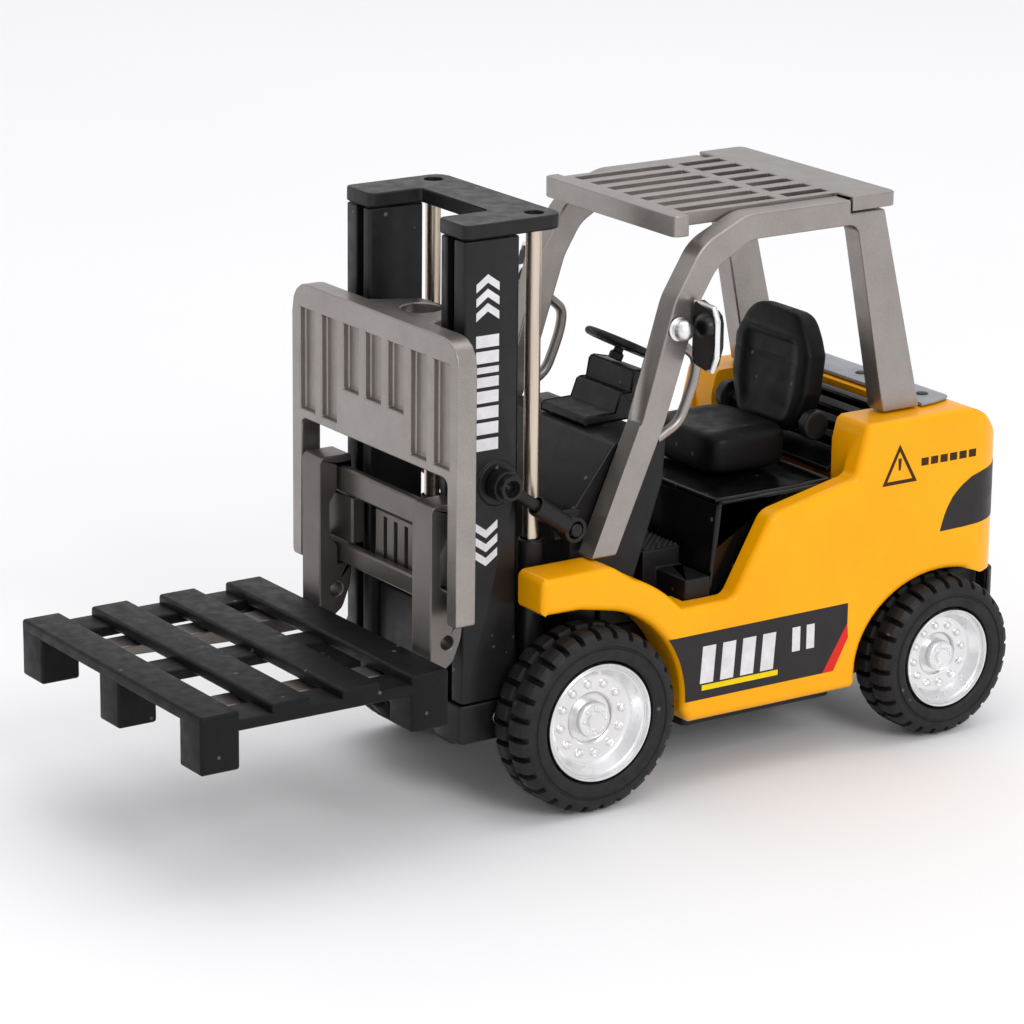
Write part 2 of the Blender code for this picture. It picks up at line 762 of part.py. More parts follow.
def make_mast():
    """The mast: two slotted columns on a foot that pivots on the chassis, with its lift cylinders."""
    swing = pivot("mast_tilt", 0, MAST_PIVOT_Y, MAST_PIVOT_Z)
    foot_plan = rounded(
        [
            (-17.3, -20.0, 0.8),
            (-9.4, -20.0, 0.6),
            (-9.4, -18.0),
            (9.4, -18.0),
            (9.4, -20.0, 0.6),
            (17.3, -20.0, 0.8),
            (17.3, -2.9, 0.8),
            (8.9, -2.9, 0.8),
            (8.9, -16.2),
            (-8.9, -16.2),
            (-8.9, -2.9, 0.8),
            (-17.3, -2.9, 0.8),
        ],
        steps=2,
    )
    foot = prism("mast_foot", "Z", foot_plan, (FOOT_BOTTOM, FOOT_TOP), "black_satin")
    pin_at = (0, MAST_PIVOT_Y, MAST_PIVOT_Z)
    cut(foot, cylinder("foot_bore", "X", pin_at, 1.8, 40))
    pin = cylinder("mast_pivot_pin", "X", pin_at, 1.5, 33.6, "polished_steel", segments=16)
    plate_z = (FOOT_TOP + GAP, 31.6)
    plate = box("mast_cross_plate", (-9.8, 9.8), (-18.0, -16.4), plate_z, "black_satin", bevel=0.3)

    column_top = MAST_TOP - TOP_PLATE_THICKNESS - GAP
    hang(swing, foot, pin, plate)
    for name, side in SIDES:
        slot = (12.1, 14.1)
        section = rounded(
            [
                (side * COLUMN_INNER_X, MAST_FRONT_Y, 0.5),
                (side * slot[0], MAST_FRONT_Y),
                (side * slot[0], -15.6),
                (side * slot[1], -15.6),
                (side * slot[1], MAST_FRONT_Y),
                (side * COLUMN_OUTER_X, MAST_FRONT_Y, 0.5),
                (side * COLUMN_OUTER_X, MAST_BACK_Y, 0.5),
                (side * COLUMN_INNER_X, MAST_BACK_Y, 0.5),
            ],
            steps=2,
        )
        heights = (FOOT_TOP + GAP, column_top)
        column = prism(f"mast_column_{name}", "Z", section, heights, "black_satin")
        eye = (side * 17.0, TILT_EYE_Y, TILT_EYE_Z)
        join(column, cylinder(name + "_boss", "X", eye, 3.6, 1.2, segments=24))
        cut(column, cylinder(name + "_bolt_bore", "X", eye, 1.1 + GAP, 5.0, segments=16))
        bolt_profile = [(0, 4.4), (1.7, 4.4), (2.0, 4.1), (2.0, 3.5), (1.1, 3.5), (1.1, -2.0), (0, -2.0)]
        bolt_at = (side * COLUMN_OUTER_X, TILT_EYE_Y, TILT_EYE_Z)
        bolt = turned(f"tilt_bolt_{name}", bolt_profile, bolt_at, "black_satin", flip=side < 0, steps=16)

        rod_low = BARREL_TOP - 20.0
        rod_high = MAST_TOP - 0.9
        rod = cylinder(
            f"lift_rod_{name}",
            "Z",
            (side * ROD_X, ROD_Y, (rod_low + rod_high) / 2),
            ROD_RADIUS,
            rod_high - rod_low,
            "polished_steel",
            segments=20,
        )
        bore = ROD_RADIUS + GAP
        barrel_profile = [
            (0, rod_low - GAP),
            (bore, rod_low - GAP),
            (bore, BARREL_TOP),
            (BARREL_RADIUS - 0.3, BARREL_TOP),
            (BARREL_RADIUS, BARREL_TOP - 0.3),
            (BARREL_RADIUS, FOOT_TOP + GAP),
            (0, FOOT_TOP + GAP),
        ]
        barrel_at = (side * ROD_X, ROD_Y, 0)
        barrel = turned(f"lift_barrel_{name}", barrel_profile, barrel_at, "black_satin", "Z", steps=20)
        hang(swing, column, bolt, rod, barrel)

    top_plan = rounded(
        [
            (-17.5, -19.8, 1.2),
            (-9.6, -19.8, 1.2),
            (-9.6, -10.4, 0.8),
            (9.6, -10.4, 0.8),
            (9.6, -19.8, 1.2),
            (17.5, -19.8, 1.2),
            (17.5, -1.5, 2.4),
            (-17.5, -1.5, 2.4),
        ],
        steps=3,
    )
    top_z = (MAST_TOP - TOP_PLATE_THICKNESS, MAST_TOP)
    top = prism("mast_top_plate", "Z", top_plan, top_z, "black_satin", bevel=0.3)
    for name, side in SIDES:
        cut(top, cylinder(name + "_rod_hole", "Z", (side * ROD_X, ROD_Y, 94), ROD_RADIUS + GAP, 6))
    hang(swing, top)
    return swing


def make_tilt_cylinders():
    """The two tilt cylinders. Each barrel turns on the cowl's peg, and each rod slides in its barrel."""
    across = Vector((TILT_EYE_Y - TILT_PIVOT_Y, TILT_EYE_Z - TILT_PIVOT_Z))
    reach = across.length
    angle = math.atan2(across.y, across.x)
    middle_x = (TILT_NEAR_X + TILT_FAR_X) / 2

    for name, side in SIDES:
        turn = Matrix.Rotation(angle, 3, "X") @ TURNS["Z"].to_matrix()
        lengthwise = turn @ Matrix.Rotation(math.radians(-90), 3, "X")
        pivot_at = Vector((side * middle_x, TILT_PIVOT_Y, TILT_PIVOT_Z))
        eye_at = Vector((side * middle_x, TILT_EYE_Y, TILT_EYE_Z))
        along = (eye_at - pivot_at).normalized()

        swivel = pivot(f"tilt_cylinder_{name}_turn", *pivot_at)
        slide = pivot(f"tilt_rod_{name}_slide", *eye_at)
        width = TILT_FAR_X - TILT_NEAR_X

        barrel = cylinder(f"tilt_barrel_{name}", "X", pivot_at, 2.1, width, "black_satin", segments=20)
        tube = cylinder(name + "_tube", "Z", pivot_at + along * 4.6, 1.6, 7.6, segments=20)
        tube.rotation_euler = lengthwise.to_euler()
        bore = cylinder(name + "_tube_bore", "Z", pivot_at + along * 6.6, 0.95 + GAP, 6.6, segments=16)
        bore.rotation_euler = lengthwise.to_euler()
        peg_bore = cylinder(name + "_peg_bore", "X", pivot_at, 1.1 + GAP, 8, segments=16)
        join(barrel, tube)
        cut(barrel, bore, peg_bore)
        hang(swivel, barrel)

        rod = cylinder(f"tilt_rod_{name}", "X", eye_at, 2.55, width, "black_satin", segments=24)
        start = 6.2
        end = reach - 1.8
        stem_at = pivot_at + along * (start + end) / 2
        stem = cylinder(name + "_stem", "Z", stem_at, 0.95, end - start, segments=16)
        stem.rotation_euler = lengthwise.to_euler()
        eye_bore = cylinder(name + "_eye_bore", "X", eye_at, 1.1 + 0.5, 8, segments=20)
        join(rod, stem)
        cut(rod, eye_bore)
        hang(slide, rod)


def make_carriage(swing):
    """The carriage: backrest, fork bars, slide plates and the centre block."""
    slide = pivot("carriage_lift", 0, MAST_FRONT_Y, UPPER_BAR_Z[0], swing)
    half = BACKREST_HALF_WIDTH
    leg = BACKREST_LEG_INNER_X
    front_view = rounded(
        [
            (-half, BACKREST_BOTTOM, 0.6),
            (-leg, BACKREST_BOTTOM, 0.6),
            (-leg, BACKREST_PANEL_BOTTOM, 1.2),
            (leg, BACKREST_PANEL_BOTTOM, 1.2),
            (leg, BACKREST_BOTTOM, 0.6),
            (half, BACKREST_BOTTOM, 0.6),
            (half, BACKREST_TOP, 4.2),
            (-half, BACKREST_TOP, 4.2),
        ],
        steps=4,
    )
    depth = (BACKREST_FRONT_Y, BACKREST_BACK_Y)
    backrest = prism("backrest", "Y", front_view, depth, "pewter_paint")
    shelf_plan = rounded(
        [
            (-11.0, BACKREST_BACK_Y - 1),
            (11.0, BACKREST_BACK_Y - 1),
            (8.4, -19.0, 1.5),
            (5.2, -12.6, 2.4),
            (-5.2, -12.6, 2.4),
            (-8.4, -19.0, 1.5),
        ],
        steps=3,
    )
    join(backrest, prism("shelf", "Z", shelf_plan, (76.4, 78.6)))
    cut(backrest, cylinder("shelf_hole", "Z", (0, -16.4, 78), 3.3, 8, segments=24))
    for index in range(7):
        middle = (index - 3) * 6.55
        low = 58.7 if index in (0, 1, 5, 6) else 64.7
        pocket_x = (middle - 2.25, middle + 2.25)
        pocket_y = (BACKREST_FRONT_Y - 1, BACKREST_FRONT_Y + 1.2)
        cut(backrest, box(f"pocket_{index}", pocket_x, pocket_y, (low, 75.3)))

    bar_x = (-leg + GAP, leg - GAP)
    bar_y = (BAR_FRONT_Y, BAR_BACK_Y)
    upper = box("fork_bar_upper", bar_x, bar_y, UPPER_BAR_Z, "gunmetal", bevel=0.3)
    lower = box("fork_bar_lower", bar_x, bar_y, LOWER_BAR_Z, "gunmetal", bevel=0.3)

    between = (LOWER_BAR_Z[1] + GAP, UPPER_BAR_Z[0] - GAP)
    block = box("carriage_block", (-6.2, 6.2), (-21.1, -18.3), (35.6, 45.4), "gunmetal", bevel=0.3)
    for index in range(3):
        x = (index - 1) * 3.1
        cut(block, box(f"block_groove_{index}", (x - 0.5, x + 0.5), (-22, -20.3), (37.0, 44.4)))
    hang(slide, backrest, upper, lower, block)
    for name, side in SIDES:
        xs = both(side, 10.4, 20.2)
        plate = box(f"carriage_plate_{name}", xs, (-22.7, -20.2), between, "gunmetal", bevel=0.25)
        tongue = box(name + "_tongue", both(side, 12.4, 13.8), (-21, -16.0), (39.4, 44.8))
        join(plate, tongue)
        hang(slide, plate)
    return slide


def fork_outline():
    """A fork's side view: hooks over both bars, a heel lug and a tapering blade."""
    hook_back = -20.7
    lip_front = BAR_BACK_Y + GAP
    return rounded(
        [
            (FORK_TIP_Y, 25.7, 0.4),
            (FORK_TIP_Y + 0.6, BLADE_TOP),
            (FORK_FRONT_Y, BLADE_TOP, 0.8),
            (FORK_FRONT_Y, FORK_TOP, 1.0),
            (hook_back, FORK_TOP, 0.6),
            (hook_back, UPPER_BAR_Z[1] - 1.0),
            (lip_front, UPPER_BAR_Z[1] - 1.0),
            (lip_front, UPPER_BAR_Z[1] + GAP),
            (BAR_FRONT_Y - GAP, UPPER_BAR_Z[1] + GAP),
            (BAR_FRONT_Y - GAP, UPPER_BAR_Z[0] + 0.6, 0.6),
            (FORK_FRONT_Y + 2.0, UPPER_BAR_Z[0] - 1.6),
            (FORK_FRONT_Y + 2.0, LOWER_BAR_Z[1] + 1.2),
            (BAR_FRONT_Y - GAP, LOWER_BAR_Z[1] - 0.6, 0.6),
            (BAR_FRONT_Y - GAP, LOWER_BAR_Z[0] - GAP),
            (lip_front, LOWER_BAR_Z[0] - GAP),
            (lip_front, LOWER_BAR_Z[0] + 0.8),
            (hook_back, LOWER_BAR_Z[0] + 0.8),
            (hook_back, 32.9, 0.6),
            (-21.0, 30.4, 2.0),
            (-22.4, 26.8, 2.0),
            (-25.8, 24.4, 1.6),
            (-40.0, 24.4),
        ],
        steps=2,
    )


def make_forks(slide):
    for name, side in SIDES:
        shift = pivot(f"fork_{name}_slide", side * 16.4, BAR_FRONT_Y, UPPER_BAR_Z[1], slide)
        ends = both(side, FORK_INNER_X, FORK_OUTER_X)
        fork = prism(f"fork_{name}", "X", fork_outline(), ends, "gunmetal")
        cut(fork, cylinder(name + "_lug_hole", "X", (side * 16.4, -23.6, 30.1), 1.1, 12, segments=16))
        hang(shift, fork)


def make_pallet(slide):
    """The pallet: deck boards on three stringers, with blocks under both ends."""
    lift = pivot("pallet_lift_off", 0, (PALLET_FRONT_Y + PALLET_REAR_Y) / 2, PALLET_TOP, slide)
    half = PALLET_HALF_WIDTH
    board_z = (27.5, PALLET_TOP)
    pitch = (PALLET_REAR_Y - PALLET_FRONT_Y - BOARD_WIDTH) / (BOARD_COUNT - 1)
    stringer_x = ((-half, -half + 6.6), (-3.1, 3.1), (half - 6.6, half))
    boards = []
    for index in range(BOARD_COUNT):
        start = PALLET_FRONT_Y + pitch * index
        plan = rounded(
            [
                (-half, start, 0.8),
                (half, start, 0.8),
                (half, start + BOARD_WIDTH, 0.8),
                (-half, start + BOARD_WIDTH, 0.8),
            ],
            steps=2,
        )
        look = "black_satin" if index == 0 else None
        name = "pallet" if index == 0 else f"board_{index}"
        boards.append(prism(name, "Z", plan, board_z, look))
    pallet = boards[0]
    join(pallet, *boards[1:])
    for index, xs in enumerate(stringer_x):
        inset = (xs[0] + 0.05, xs[1] - 0.05)
        rail_y = (PALLET_FRONT_Y + 0.05, PALLET_REAR_Y - 0.05)
        join(pallet, box(f"stringer_{index}", inset, rail_y, (26.3, 28.5)))
        for end, y in (("front", PALLET_FRONT_Y + 0.1), ("rear", PALLET_REAR_Y - 0.1 - BLOCK_DEPTH)):
            block_y = (y, y + BLOCK_DEPTH)
            block_x = (xs[0] + 0.1, xs[1] - 0.1)
            join(pallet, box(f"block_{end}_{index}", block_x, block_y, (PALLET_BOTTOM, 28.0), bevel=0.7))
    hang(lift, pallet)


make_chassis()
make_body()
make_cab()
make_deck_plate()
make_seat()
make_steering()
make_guard()
make_wheels()
mast = make_mast()
make_tilt_cylinders()
carriage = make_carriage(mast)
make_forks(carriage)
make_pallet(carriage)
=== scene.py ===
import json
import math

import bmesh
import bpy
import numpy as np
from mathutils import Matrix, Vector

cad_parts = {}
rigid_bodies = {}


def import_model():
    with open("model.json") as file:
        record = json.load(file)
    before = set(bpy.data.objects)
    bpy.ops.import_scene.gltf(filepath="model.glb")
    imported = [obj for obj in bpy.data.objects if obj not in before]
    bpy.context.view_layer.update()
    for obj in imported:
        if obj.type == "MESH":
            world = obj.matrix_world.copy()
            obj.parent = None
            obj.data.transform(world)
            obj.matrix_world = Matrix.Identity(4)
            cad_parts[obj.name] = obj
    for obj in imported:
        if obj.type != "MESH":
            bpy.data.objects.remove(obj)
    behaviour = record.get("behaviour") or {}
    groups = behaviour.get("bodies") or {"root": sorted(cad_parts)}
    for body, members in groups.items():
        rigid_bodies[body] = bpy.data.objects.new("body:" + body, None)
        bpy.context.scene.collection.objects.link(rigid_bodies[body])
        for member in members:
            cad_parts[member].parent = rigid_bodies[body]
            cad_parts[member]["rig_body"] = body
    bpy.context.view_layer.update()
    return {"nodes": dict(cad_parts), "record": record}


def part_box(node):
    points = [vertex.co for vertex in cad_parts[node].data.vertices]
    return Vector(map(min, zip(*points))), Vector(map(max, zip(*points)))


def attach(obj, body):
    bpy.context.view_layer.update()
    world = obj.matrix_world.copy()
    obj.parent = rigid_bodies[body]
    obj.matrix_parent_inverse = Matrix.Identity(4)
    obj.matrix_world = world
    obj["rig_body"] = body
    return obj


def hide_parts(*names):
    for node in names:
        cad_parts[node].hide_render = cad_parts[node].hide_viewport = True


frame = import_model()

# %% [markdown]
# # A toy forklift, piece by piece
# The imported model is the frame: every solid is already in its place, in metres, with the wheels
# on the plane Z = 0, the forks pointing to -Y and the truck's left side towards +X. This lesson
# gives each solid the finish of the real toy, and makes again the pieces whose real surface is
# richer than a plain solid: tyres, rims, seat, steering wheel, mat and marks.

MM = 0.001
SIDES = (("left", 1), ("right", -1))
SLOTS = {entry["node"]: entry["material_slot"] for entry in frame["record"]["subparts"]}


def box_mm(node):
    """The lowest and highest corner of a solid, in millimetres, as two arrays."""
    low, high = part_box(node)
    return np.array(low) / MM, np.array(high) / MM


AXLE_LOW, AXLE_HIGH = box_mm("front_axle")
AXLE_Y = (AXLE_LOW[1] + AXLE_HIGH[1]) / 2
print("front axle at y =", round(float(AXLE_Y), 2), "mm")

# %% [markdown]
# ## Colour and node helpers
# Colours are written as the sRGB hex values a paint chart gives, and one function turns them
# into the linear numbers that the shader needs. One function adds a node with its settings and
# its inputs. An input is either a value or the socket of another node.


# %% Colour and node helpers
def linear(colour, alpha=1.0):
    """sRGB hex to linear: c / 12.92 below 0.04045, else ((c + 0.055) / 1.055) ** 2.4."""
    channels = [int(colour[i : i + 2], 16) / 255 for i in (0, 2, 4)]
    straight = [c / 12.92 if c <= 0.04045 else ((c + 0.055) / 1.055) ** 2.4 for c in channels]
    return (*straight, alpha)


def add_node(tree, kind, inputs=None, **settings):
    """Adds one node, sets its properties, and sets or links its inputs."""
    node = tree.nodes.new(kind)
    for name, value in settings.items():
        setattr(node, name, value)
    for key, value in (inputs or {}).items():
        if isinstance(value, bpy.types.NodeSocket):
            tree.links.new(value, node.inputs[key])
        else:
            node.inputs[key].default_value = value
    return node


def per_metre(size_mm):
    """The Scale of a pattern whose features are size_mm across."""
    return 1.0 / (size_mm * MM)


print("sRGB 808080 is", round(linear("808080")[0], 3), "when made linear")

# %% [markdown]
# ## A finish for moulded and painted parts
# Every moulded or painted part of a toy has the same three layers of detail: broad patches
# where the shade and the gloss drift a little, a fine grain left by the mould or the spray,
# and a few light specks of dust. One recipe holds the three, and each material gives it the
# sizes and the colours of its own process.


# %% The moulded or painted finish
DUST_SHADE = "B9B4AE"


def finish(
    name, light, dark, patch, rough, grain, depth, speck=None, flake=None, stretch=(1, 1, 1), **shader
):
    """A material from two hex shades, patch and grain sizes in mm, a roughness range and a depth in mm.

    speck is the spacing of the dust in mm and its strength. flake is the size of the flakes in mm, their
    strength and their hex shade. stretch scales the patterns along X, Y and Z. The other words set the
    shader's own inputs.
    """
    material = bpy.data.materials.new(name)
    material.use_nodes = True
    tree = material.node_tree
    surface = tree.nodes["Principled BSDF"]
    for key, value in shader.items():
        surface.inputs[key.replace("_", " ")].default_value = value
    place = add_node(tree, "ShaderNodeTexCoord").outputs["Object"]
    drawn = add_node(tree, "ShaderNodeMapping", {"Vector": place, "Scale": stretch}).outputs["Vector"]

    patches = add_node(
        tree,
        "ShaderNodeTexNoise",
        {"Vector": drawn, "Scale": per_metre(patch), "Detail": 4.0, "Roughness": 0.6},
    ).outputs["Fac"]
    amount = add_node(
        tree, "ShaderNodeMapRange", {"Value": patches, "From Min": 0.3, "From Max": 0.7}
    ).outputs["Result"]
    tint = add_node(
        tree, "ShaderNodeMix", {"Factor": amount, "A": linear(dark), "B": linear(light)}, data_type="RGBA"
    ).outputs["Result"]

    if flake:
        flake_size, flake_strength, flake_shade = flake
        cells = add_node(
            tree, "ShaderNodeTexVoronoi", {"Vector": place, "Scale": per_metre(flake_size)}
        ).outputs["Color"]
        sparkle = add_node(tree, "ShaderNodeSeparateColor", {"Color": cells}).outputs["Red"]
        strength = add_node(
            tree, "ShaderNodeMapRange", {"Value": sparkle, "From Min": 0.55, "To Max": flake_strength}
        ).outputs["Result"]
        tint = add_node(
            tree,
            "ShaderNodeMix",
            {"Factor": strength, "A": tint, "B": linear(flake_shade)},
            data_type="RGBA",
        ).outputs["Result"]
    if speck:
        speck_spacing, speck_strength = speck
        dots = add_node(
            tree, "ShaderNodeTexVoronoi", {"Vector": place, "Scale": per_metre(speck_spacing)}
        ).outputs["Distance"]
        dust = add_node(
            tree,
            "ShaderNodeMapRange",
            {"Value": dots, "From Min": 0.09, "From Max": 0.05, "To Max": speck_strength},
        ).outputs["Result"]
        tint = add_node(
            tree, "ShaderNodeMix", {"Factor": dust, "A": tint, "B": linear(DUST_SHADE)}, data_type="RGBA"
        ).outputs["Result"]
    tree.links.new(tint, surface.inputs["Base Color"])

    gloss = add_node(
        tree, "ShaderNodeTexNoise", {"Vector": drawn, "Scale": per_metre(patch * 0.45), "Detail": 5.0}
    ).outputs["Fac"]
    roughness = add_node(
        tree,
        "ShaderNodeMapRange",
        {"Value": gloss, "From Min": 0.35, "From Max": 0.65, "To Min": rough[0], "To Max": rough[1]},
    ).outputs["Result"]
    tree.links.new(roughness, surface.inputs["Roughness"])

    grains = add_node(
        tree, "ShaderNodeTexNoise", {"Vector": drawn, "Scale": per_metre(grain), "Detail": 2.0}
    ).outputs["Fac"]
    bump = add_node(
        tree, "ShaderNodeBump", {"Height": grains, "Distance": depth * MM, "Strength": 1.0}
    ).outputs["Normal"]
    tree.links.new(bump, surface.inputs["Normal"])
    return material


# %% [markdown]
# ## The toy's materials
# - Stove enamel over a zinc die casting: an even, deep yellow under a clear, glossy skin with
#   the faint waviness of sprayed paint.
# - Black and grey ABS: satin from a spark-eroded mould, duller where the mould has a fine
#   texture, and glossy from a polished one.
# - Pewter and gunmetal: satin plastic sprayed with a paint full of aluminium flakes. The real
#   flakes are about 0.03 mm, too fine to show, so they are drawn 0.15 mm across.
# - Vacuum plating: plastic under a film of aluminium and a clear lacquer, bright but a little
#   cloudy.
# - Drawn steel for the rods, with fine lines along their length, drawn wider than they are. Its
#   warm tan shades are a painted reflection, not the colour of the bare steel.
# - Natural rubber with carbon black for the tyres, dull with a bloom of grey.
# - Pad printing ink for the marks: a thin, flat film with hardly any grain.

# %% Materials
ENAMEL = finish(
    "stove_enamel_yellow", "FCAE00", "F6A600", 14.0, (0.28, 0.38), 1.6, 0.006,
    Specular_IOR_Level=0.15, Coat_Weight=0.16, Coat_Roughness=0.07,
)
ABS_SATIN = finish(
    "abs_satin_black", "1C1A1B", "131213", 5.0, (0.32, 0.46), 0.22, 0.01,
    speck=(4.6, 0.22), Specular_IOR_Level=0.3,
)
ABS_DULL = finish(
    "abs_fine_textured_black", "111011", "0C0B0C", 5.0, (0.4, 0.54), 0.22, 0.012,
    speck=(4.6, 0.2), Specular_IOR_Level=0.18,
)
ABS_GLOSS = finish(
    "abs_polished_black", "0F0E0F", "0A090A", 8.0, (0.12, 0.24), 1.2, 0.005,
    speck=(5.0, 0.2), Specular_IOR_Level=0.35,
)
PEWTER = finish(
    "pewter_flake_paint", "A09A96", "958F8B", 7.0, (0.32, 0.4), 0.16, 0.005,
    flake=(0.15, 0.3, "B5AEA9"), Metallic=0.85,
)
GUNMETAL = finish(
    "gunmetal_flake_paint", "77716D", "6E6864", 8.0, (0.3, 0.36), 0.16, 0.0025,
    flake=(0.15, 0.15, "8B8480"), Metallic=0.8,
)
PLATING = finish(
    "vacuum_plated_plastic", "F0F0F0", "E6E6E7", 3.0, (0.27, 0.36), 0.9, 0.004, Metallic=1.0
)
# The two tan shades of the rod steel are a painted reflection; bare steel is not tan.
STEEL_PAINTED_TAN_REFLECTION = finish(
    "drawn_steel_painted_tan_reflection", "E2D3C2", "C2B2A0", 1.2, (0.24, 0.4), 0.3, 0.005, stretch=(1, 1, 0.04), Metallic=1.0
)
RUBBER = finish(
    "carbon_black_rubber", "1E1D1E", "141314", 4.0, (0.5, 0.7), 0.25, 0.02,
    speck=(4.5, 0.18), Specular_IOR_Level=0.35,
)
GREY_ABS = finish(
    "abs_satin_grey", "9A9CA1", "85878C", 6.0, (0.4, 0.55), 0.22, 0.01, speck=(2.8, 0.2), IOR=1.53
)


def ink(colour, light, dark, patch=2.0, smoothest=0.38, level=0.2):
    """A film of pad printing ink: flat, even and almost without grain."""
    return finish(
        f"pad_print_{colour}", light, dark, patch, (smoothest, 0.5), 0.3, 0.002, Specular_IOR_Level=level
    )


WHITE_INK = ink("white", "E2E0E2", "D2CFD2", smoothest=0.4)
BLACK_INK = ink("black", "2A2627", "242122", patch=4.0, level=0.25)
RED_INK = ink("red", "DD2A1C", "D22417")
LEMON_INK = ink("lemon", "EFD000", "E6C600")
BROWN_INK = ink("brown", "3C2600", "322000")
BY_SLOT = {
    "yellow_paint": ENAMEL,
    "black_satin": ABS_SATIN,
    "black_gloss": ABS_GLOSS,
    "pewter_paint": PEWTER,
    "gunmetal": GUNMETAL,
    "chrome": PLATING,
    "polished_steel": STEEL_PAINTED_TAN_REFLECTION,
    "rubber": RUBBER,
    "grey_plate": GREY_ABS,
}
print(len(bpy.data.materials), "materials")

# %% [markdown]
# ## From a sharp solid to a moulded part
# No moulded edge is sharp: steel moulds are cut with a small radius, and paint rounds it more.
# A copy of each solid that keeps its shape has its doubled corners merged and its flat triangles
# joined, and then a Bevel gives the sharp edges a real rounded band that catches the light. The
# copy takes the solid's place, and moves with the same body.


# %% Rounded copies of the frame's solids
SAME_POINT_MM = 0.002
FLAT_DEGREES = 0.4


def settle(piece, body, slot, *replaced):
    """Puts a finished piece on its body and hides the solids that it stands for. slot is not used."""
    bpy.context.scene.collection.objects.link(piece)
    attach(piece, body)
    if replaced:
        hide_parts(*replaced)
    return piece


def rounded(node, radius, merge=SAME_POINT_MM, chosen=None, segments=3, angle=35, even=False):
    """A copy of a solid with points nearer than merge joined and its chosen sharp edges made arcs, in mm.

    With even, the normals follow the larger faces instead of being hardened by the Bevel.
    """
    shape = bmesh.new()
    shape.from_mesh(frame["nodes"][node].data)
    bmesh.ops.remove_doubles(shape, verts=shape.verts, dist=SAME_POINT_MM * MM)
    flat = math.radians(FLAT_DEGREES)
    bmesh.ops.dissolve_limit(shape, angle_limit=flat, verts=shape.verts, edges=shape.edges)
    bmesh.ops.remove_doubles(shape, verts=shape.verts, dist=merge * MM)
    shape.normal_update()
    weight = shape.edges.layers.float.new("bevel_weight_edge")
    for edge in shape.edges:
        sharp = edge.calc_face_angle(0) > math.radians(angle)
        edge[weight] = float(sharp and (chosen is None or chosen(edge)))
    mesh = bpy.data.meshes.new(node + "_skin")
    shape.to_mesh(mesh)
    shape.free()
    if "custom_normal" in mesh.attributes:
        mesh.attributes.remove(mesh.attributes["custom_normal"])
    mesh.shade_smooth()
    mesh.set_sharp_from_angle(angle=math.radians(angle))
    mesh.materials.clear()
    mesh.materials.append(BY_SLOT[SLOTS[node]])
    piece = bpy.data.objects.new(node + "_skin", mesh)
    bevel = piece.modifiers.new("moulded_edges", "BEVEL")
    bevel.width = radius * MM
    bevel.segments = segments
    bevel.limit_method = "WEIGHT"
    bevel.harden_normals = not even
    bevel.use_clamp_overlap = False
    if even:
        piece.modifiers.new("face_normals", "WEIGHTED_NORMAL").keep_sharp = True
    return settle(piece, frame["nodes"][node]["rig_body"], SLOTS[node], node)


def outer_body_edge(edge):
    """Whether an outward edge of the shell lies on one of its flat sides, ahead of the rear corners."""
    middle = np.abs(np.array(edge.verts[0].co + edge.verts[1].co)) / 2 / MM
    on_side = middle[0] > BODY_SIDE_X - SIDE_TOLERANCE
    return edge.is_convex and on_side and middle[1] < REAR_CORNER_Y


def long_outward_edge(edge):
    """Whether an edge is convex and longer than the short sides of a small arc."""
    return edge.is_convex and edge.calc_length() > SHORT_SIDE * MM


SHORT_SIDE = 0.3
SIDE_TOLERANCE = 0.2
BODY_SIDE_X = box_mm("body_shell")[1][0]
REAR_CORNER_Y = 69.0
# How near two points are joined first, where a solid has slivers that a Bevel would fold over.
COARSE, COARSER, COARSEST = 0.1, 0.25, 0.45
EDGE_RADII = {
    "chassis": 0.4,
    "tow_pin": 0.15,
    "cowl": 0.35,
    "dash_console": 0.3,
    "vent_panel": 0.2,
    "recline_shaft": 0.25,
    "steering_column": 0.15,
    "roof_grille": 0.22,
    "mast_foot": 0.3,
    "mast_pivot_pin": 0.2,
    "mast_cross_plate": 0.2,
    "fork_bar_upper": 0.15,
    "fork_bar_lower": 0.15,
    "carriage_block": 0.15,
    "front_axle": 0.2,
    "rear_axle": 0.2,
}
COARSE_RADII = {
    "rear_bumper": 0.3,
    "cab_floor": 0.35,
    "engine_hood": 0.3,
    "backrest": 0.32,
    "guard_frame_left": 0.35,
    "guard_frame_right": 0.35,
    "fork_left": 0.3,
    "fork_right": 0.3,
}
PAIRED_RADII = {
    "mirror": 0.15,
    "mast_column": 0.25,
    "lift_barrel": 0.15,
    "carriage_plate": 0.15,
}
for node, radius in EDGE_RADII.items():
    rounded(node, radius)
for node, radius in COARSE_RADII.items():
    rounded(node, radius, COARSER)
rounded("body_shell", 1.2, COARSEST, outer_body_edge, segments=4, even=True)
rounded("mast_top_plate", 0.2, chosen=long_outward_edge)
for side, _ in SIDES:
    for stem, radius in PAIRED_RADII.items():
        rounded(f"{stem}_{side}", radius)
    for stem in ("tilt_barrel", "tilt_rod"):
        rounded(f"{stem}_{side}", 0.2, COARSE, long_outward_edge)

# %% [markdown]
# ## Surfaces worked out as arrays
# The other pieces are surfaces: a grid of points, each a function of two numbers, joined to its
# neighbours by quads. Three families cover most of them: a profile turned about an axis, a
# section carried along a flat path, and a flat mark with a little thickness. The seat, the
# pallet, the mat and the deck plate have functions of their own.


# %% Grids, turned profiles, carried sections and flat marks
POLE_GAP_MM = 0.0005
INK_FILM = 0.04
ROUNDING = 1e-7


def quads_of(points, wrap_u, wrap_v, offset):
    """Corner numbers of the quads over a grid (u, v, 3), closed on itself where it wraps."""
    rows, columns = points.shape[:2]
    u = np.arange(rows if wrap_u else rows - 1)[:, None]
    v = np.arange(columns if wrap_v else columns - 1)[None, :]
    right, up = (u + 1) % rows, (v + 1) % columns
    loop = [u * columns + v, right * columns + v, right * columns + up, u * columns + up]
    return np.stack(loop, -1).reshape(-1, 4) + offset


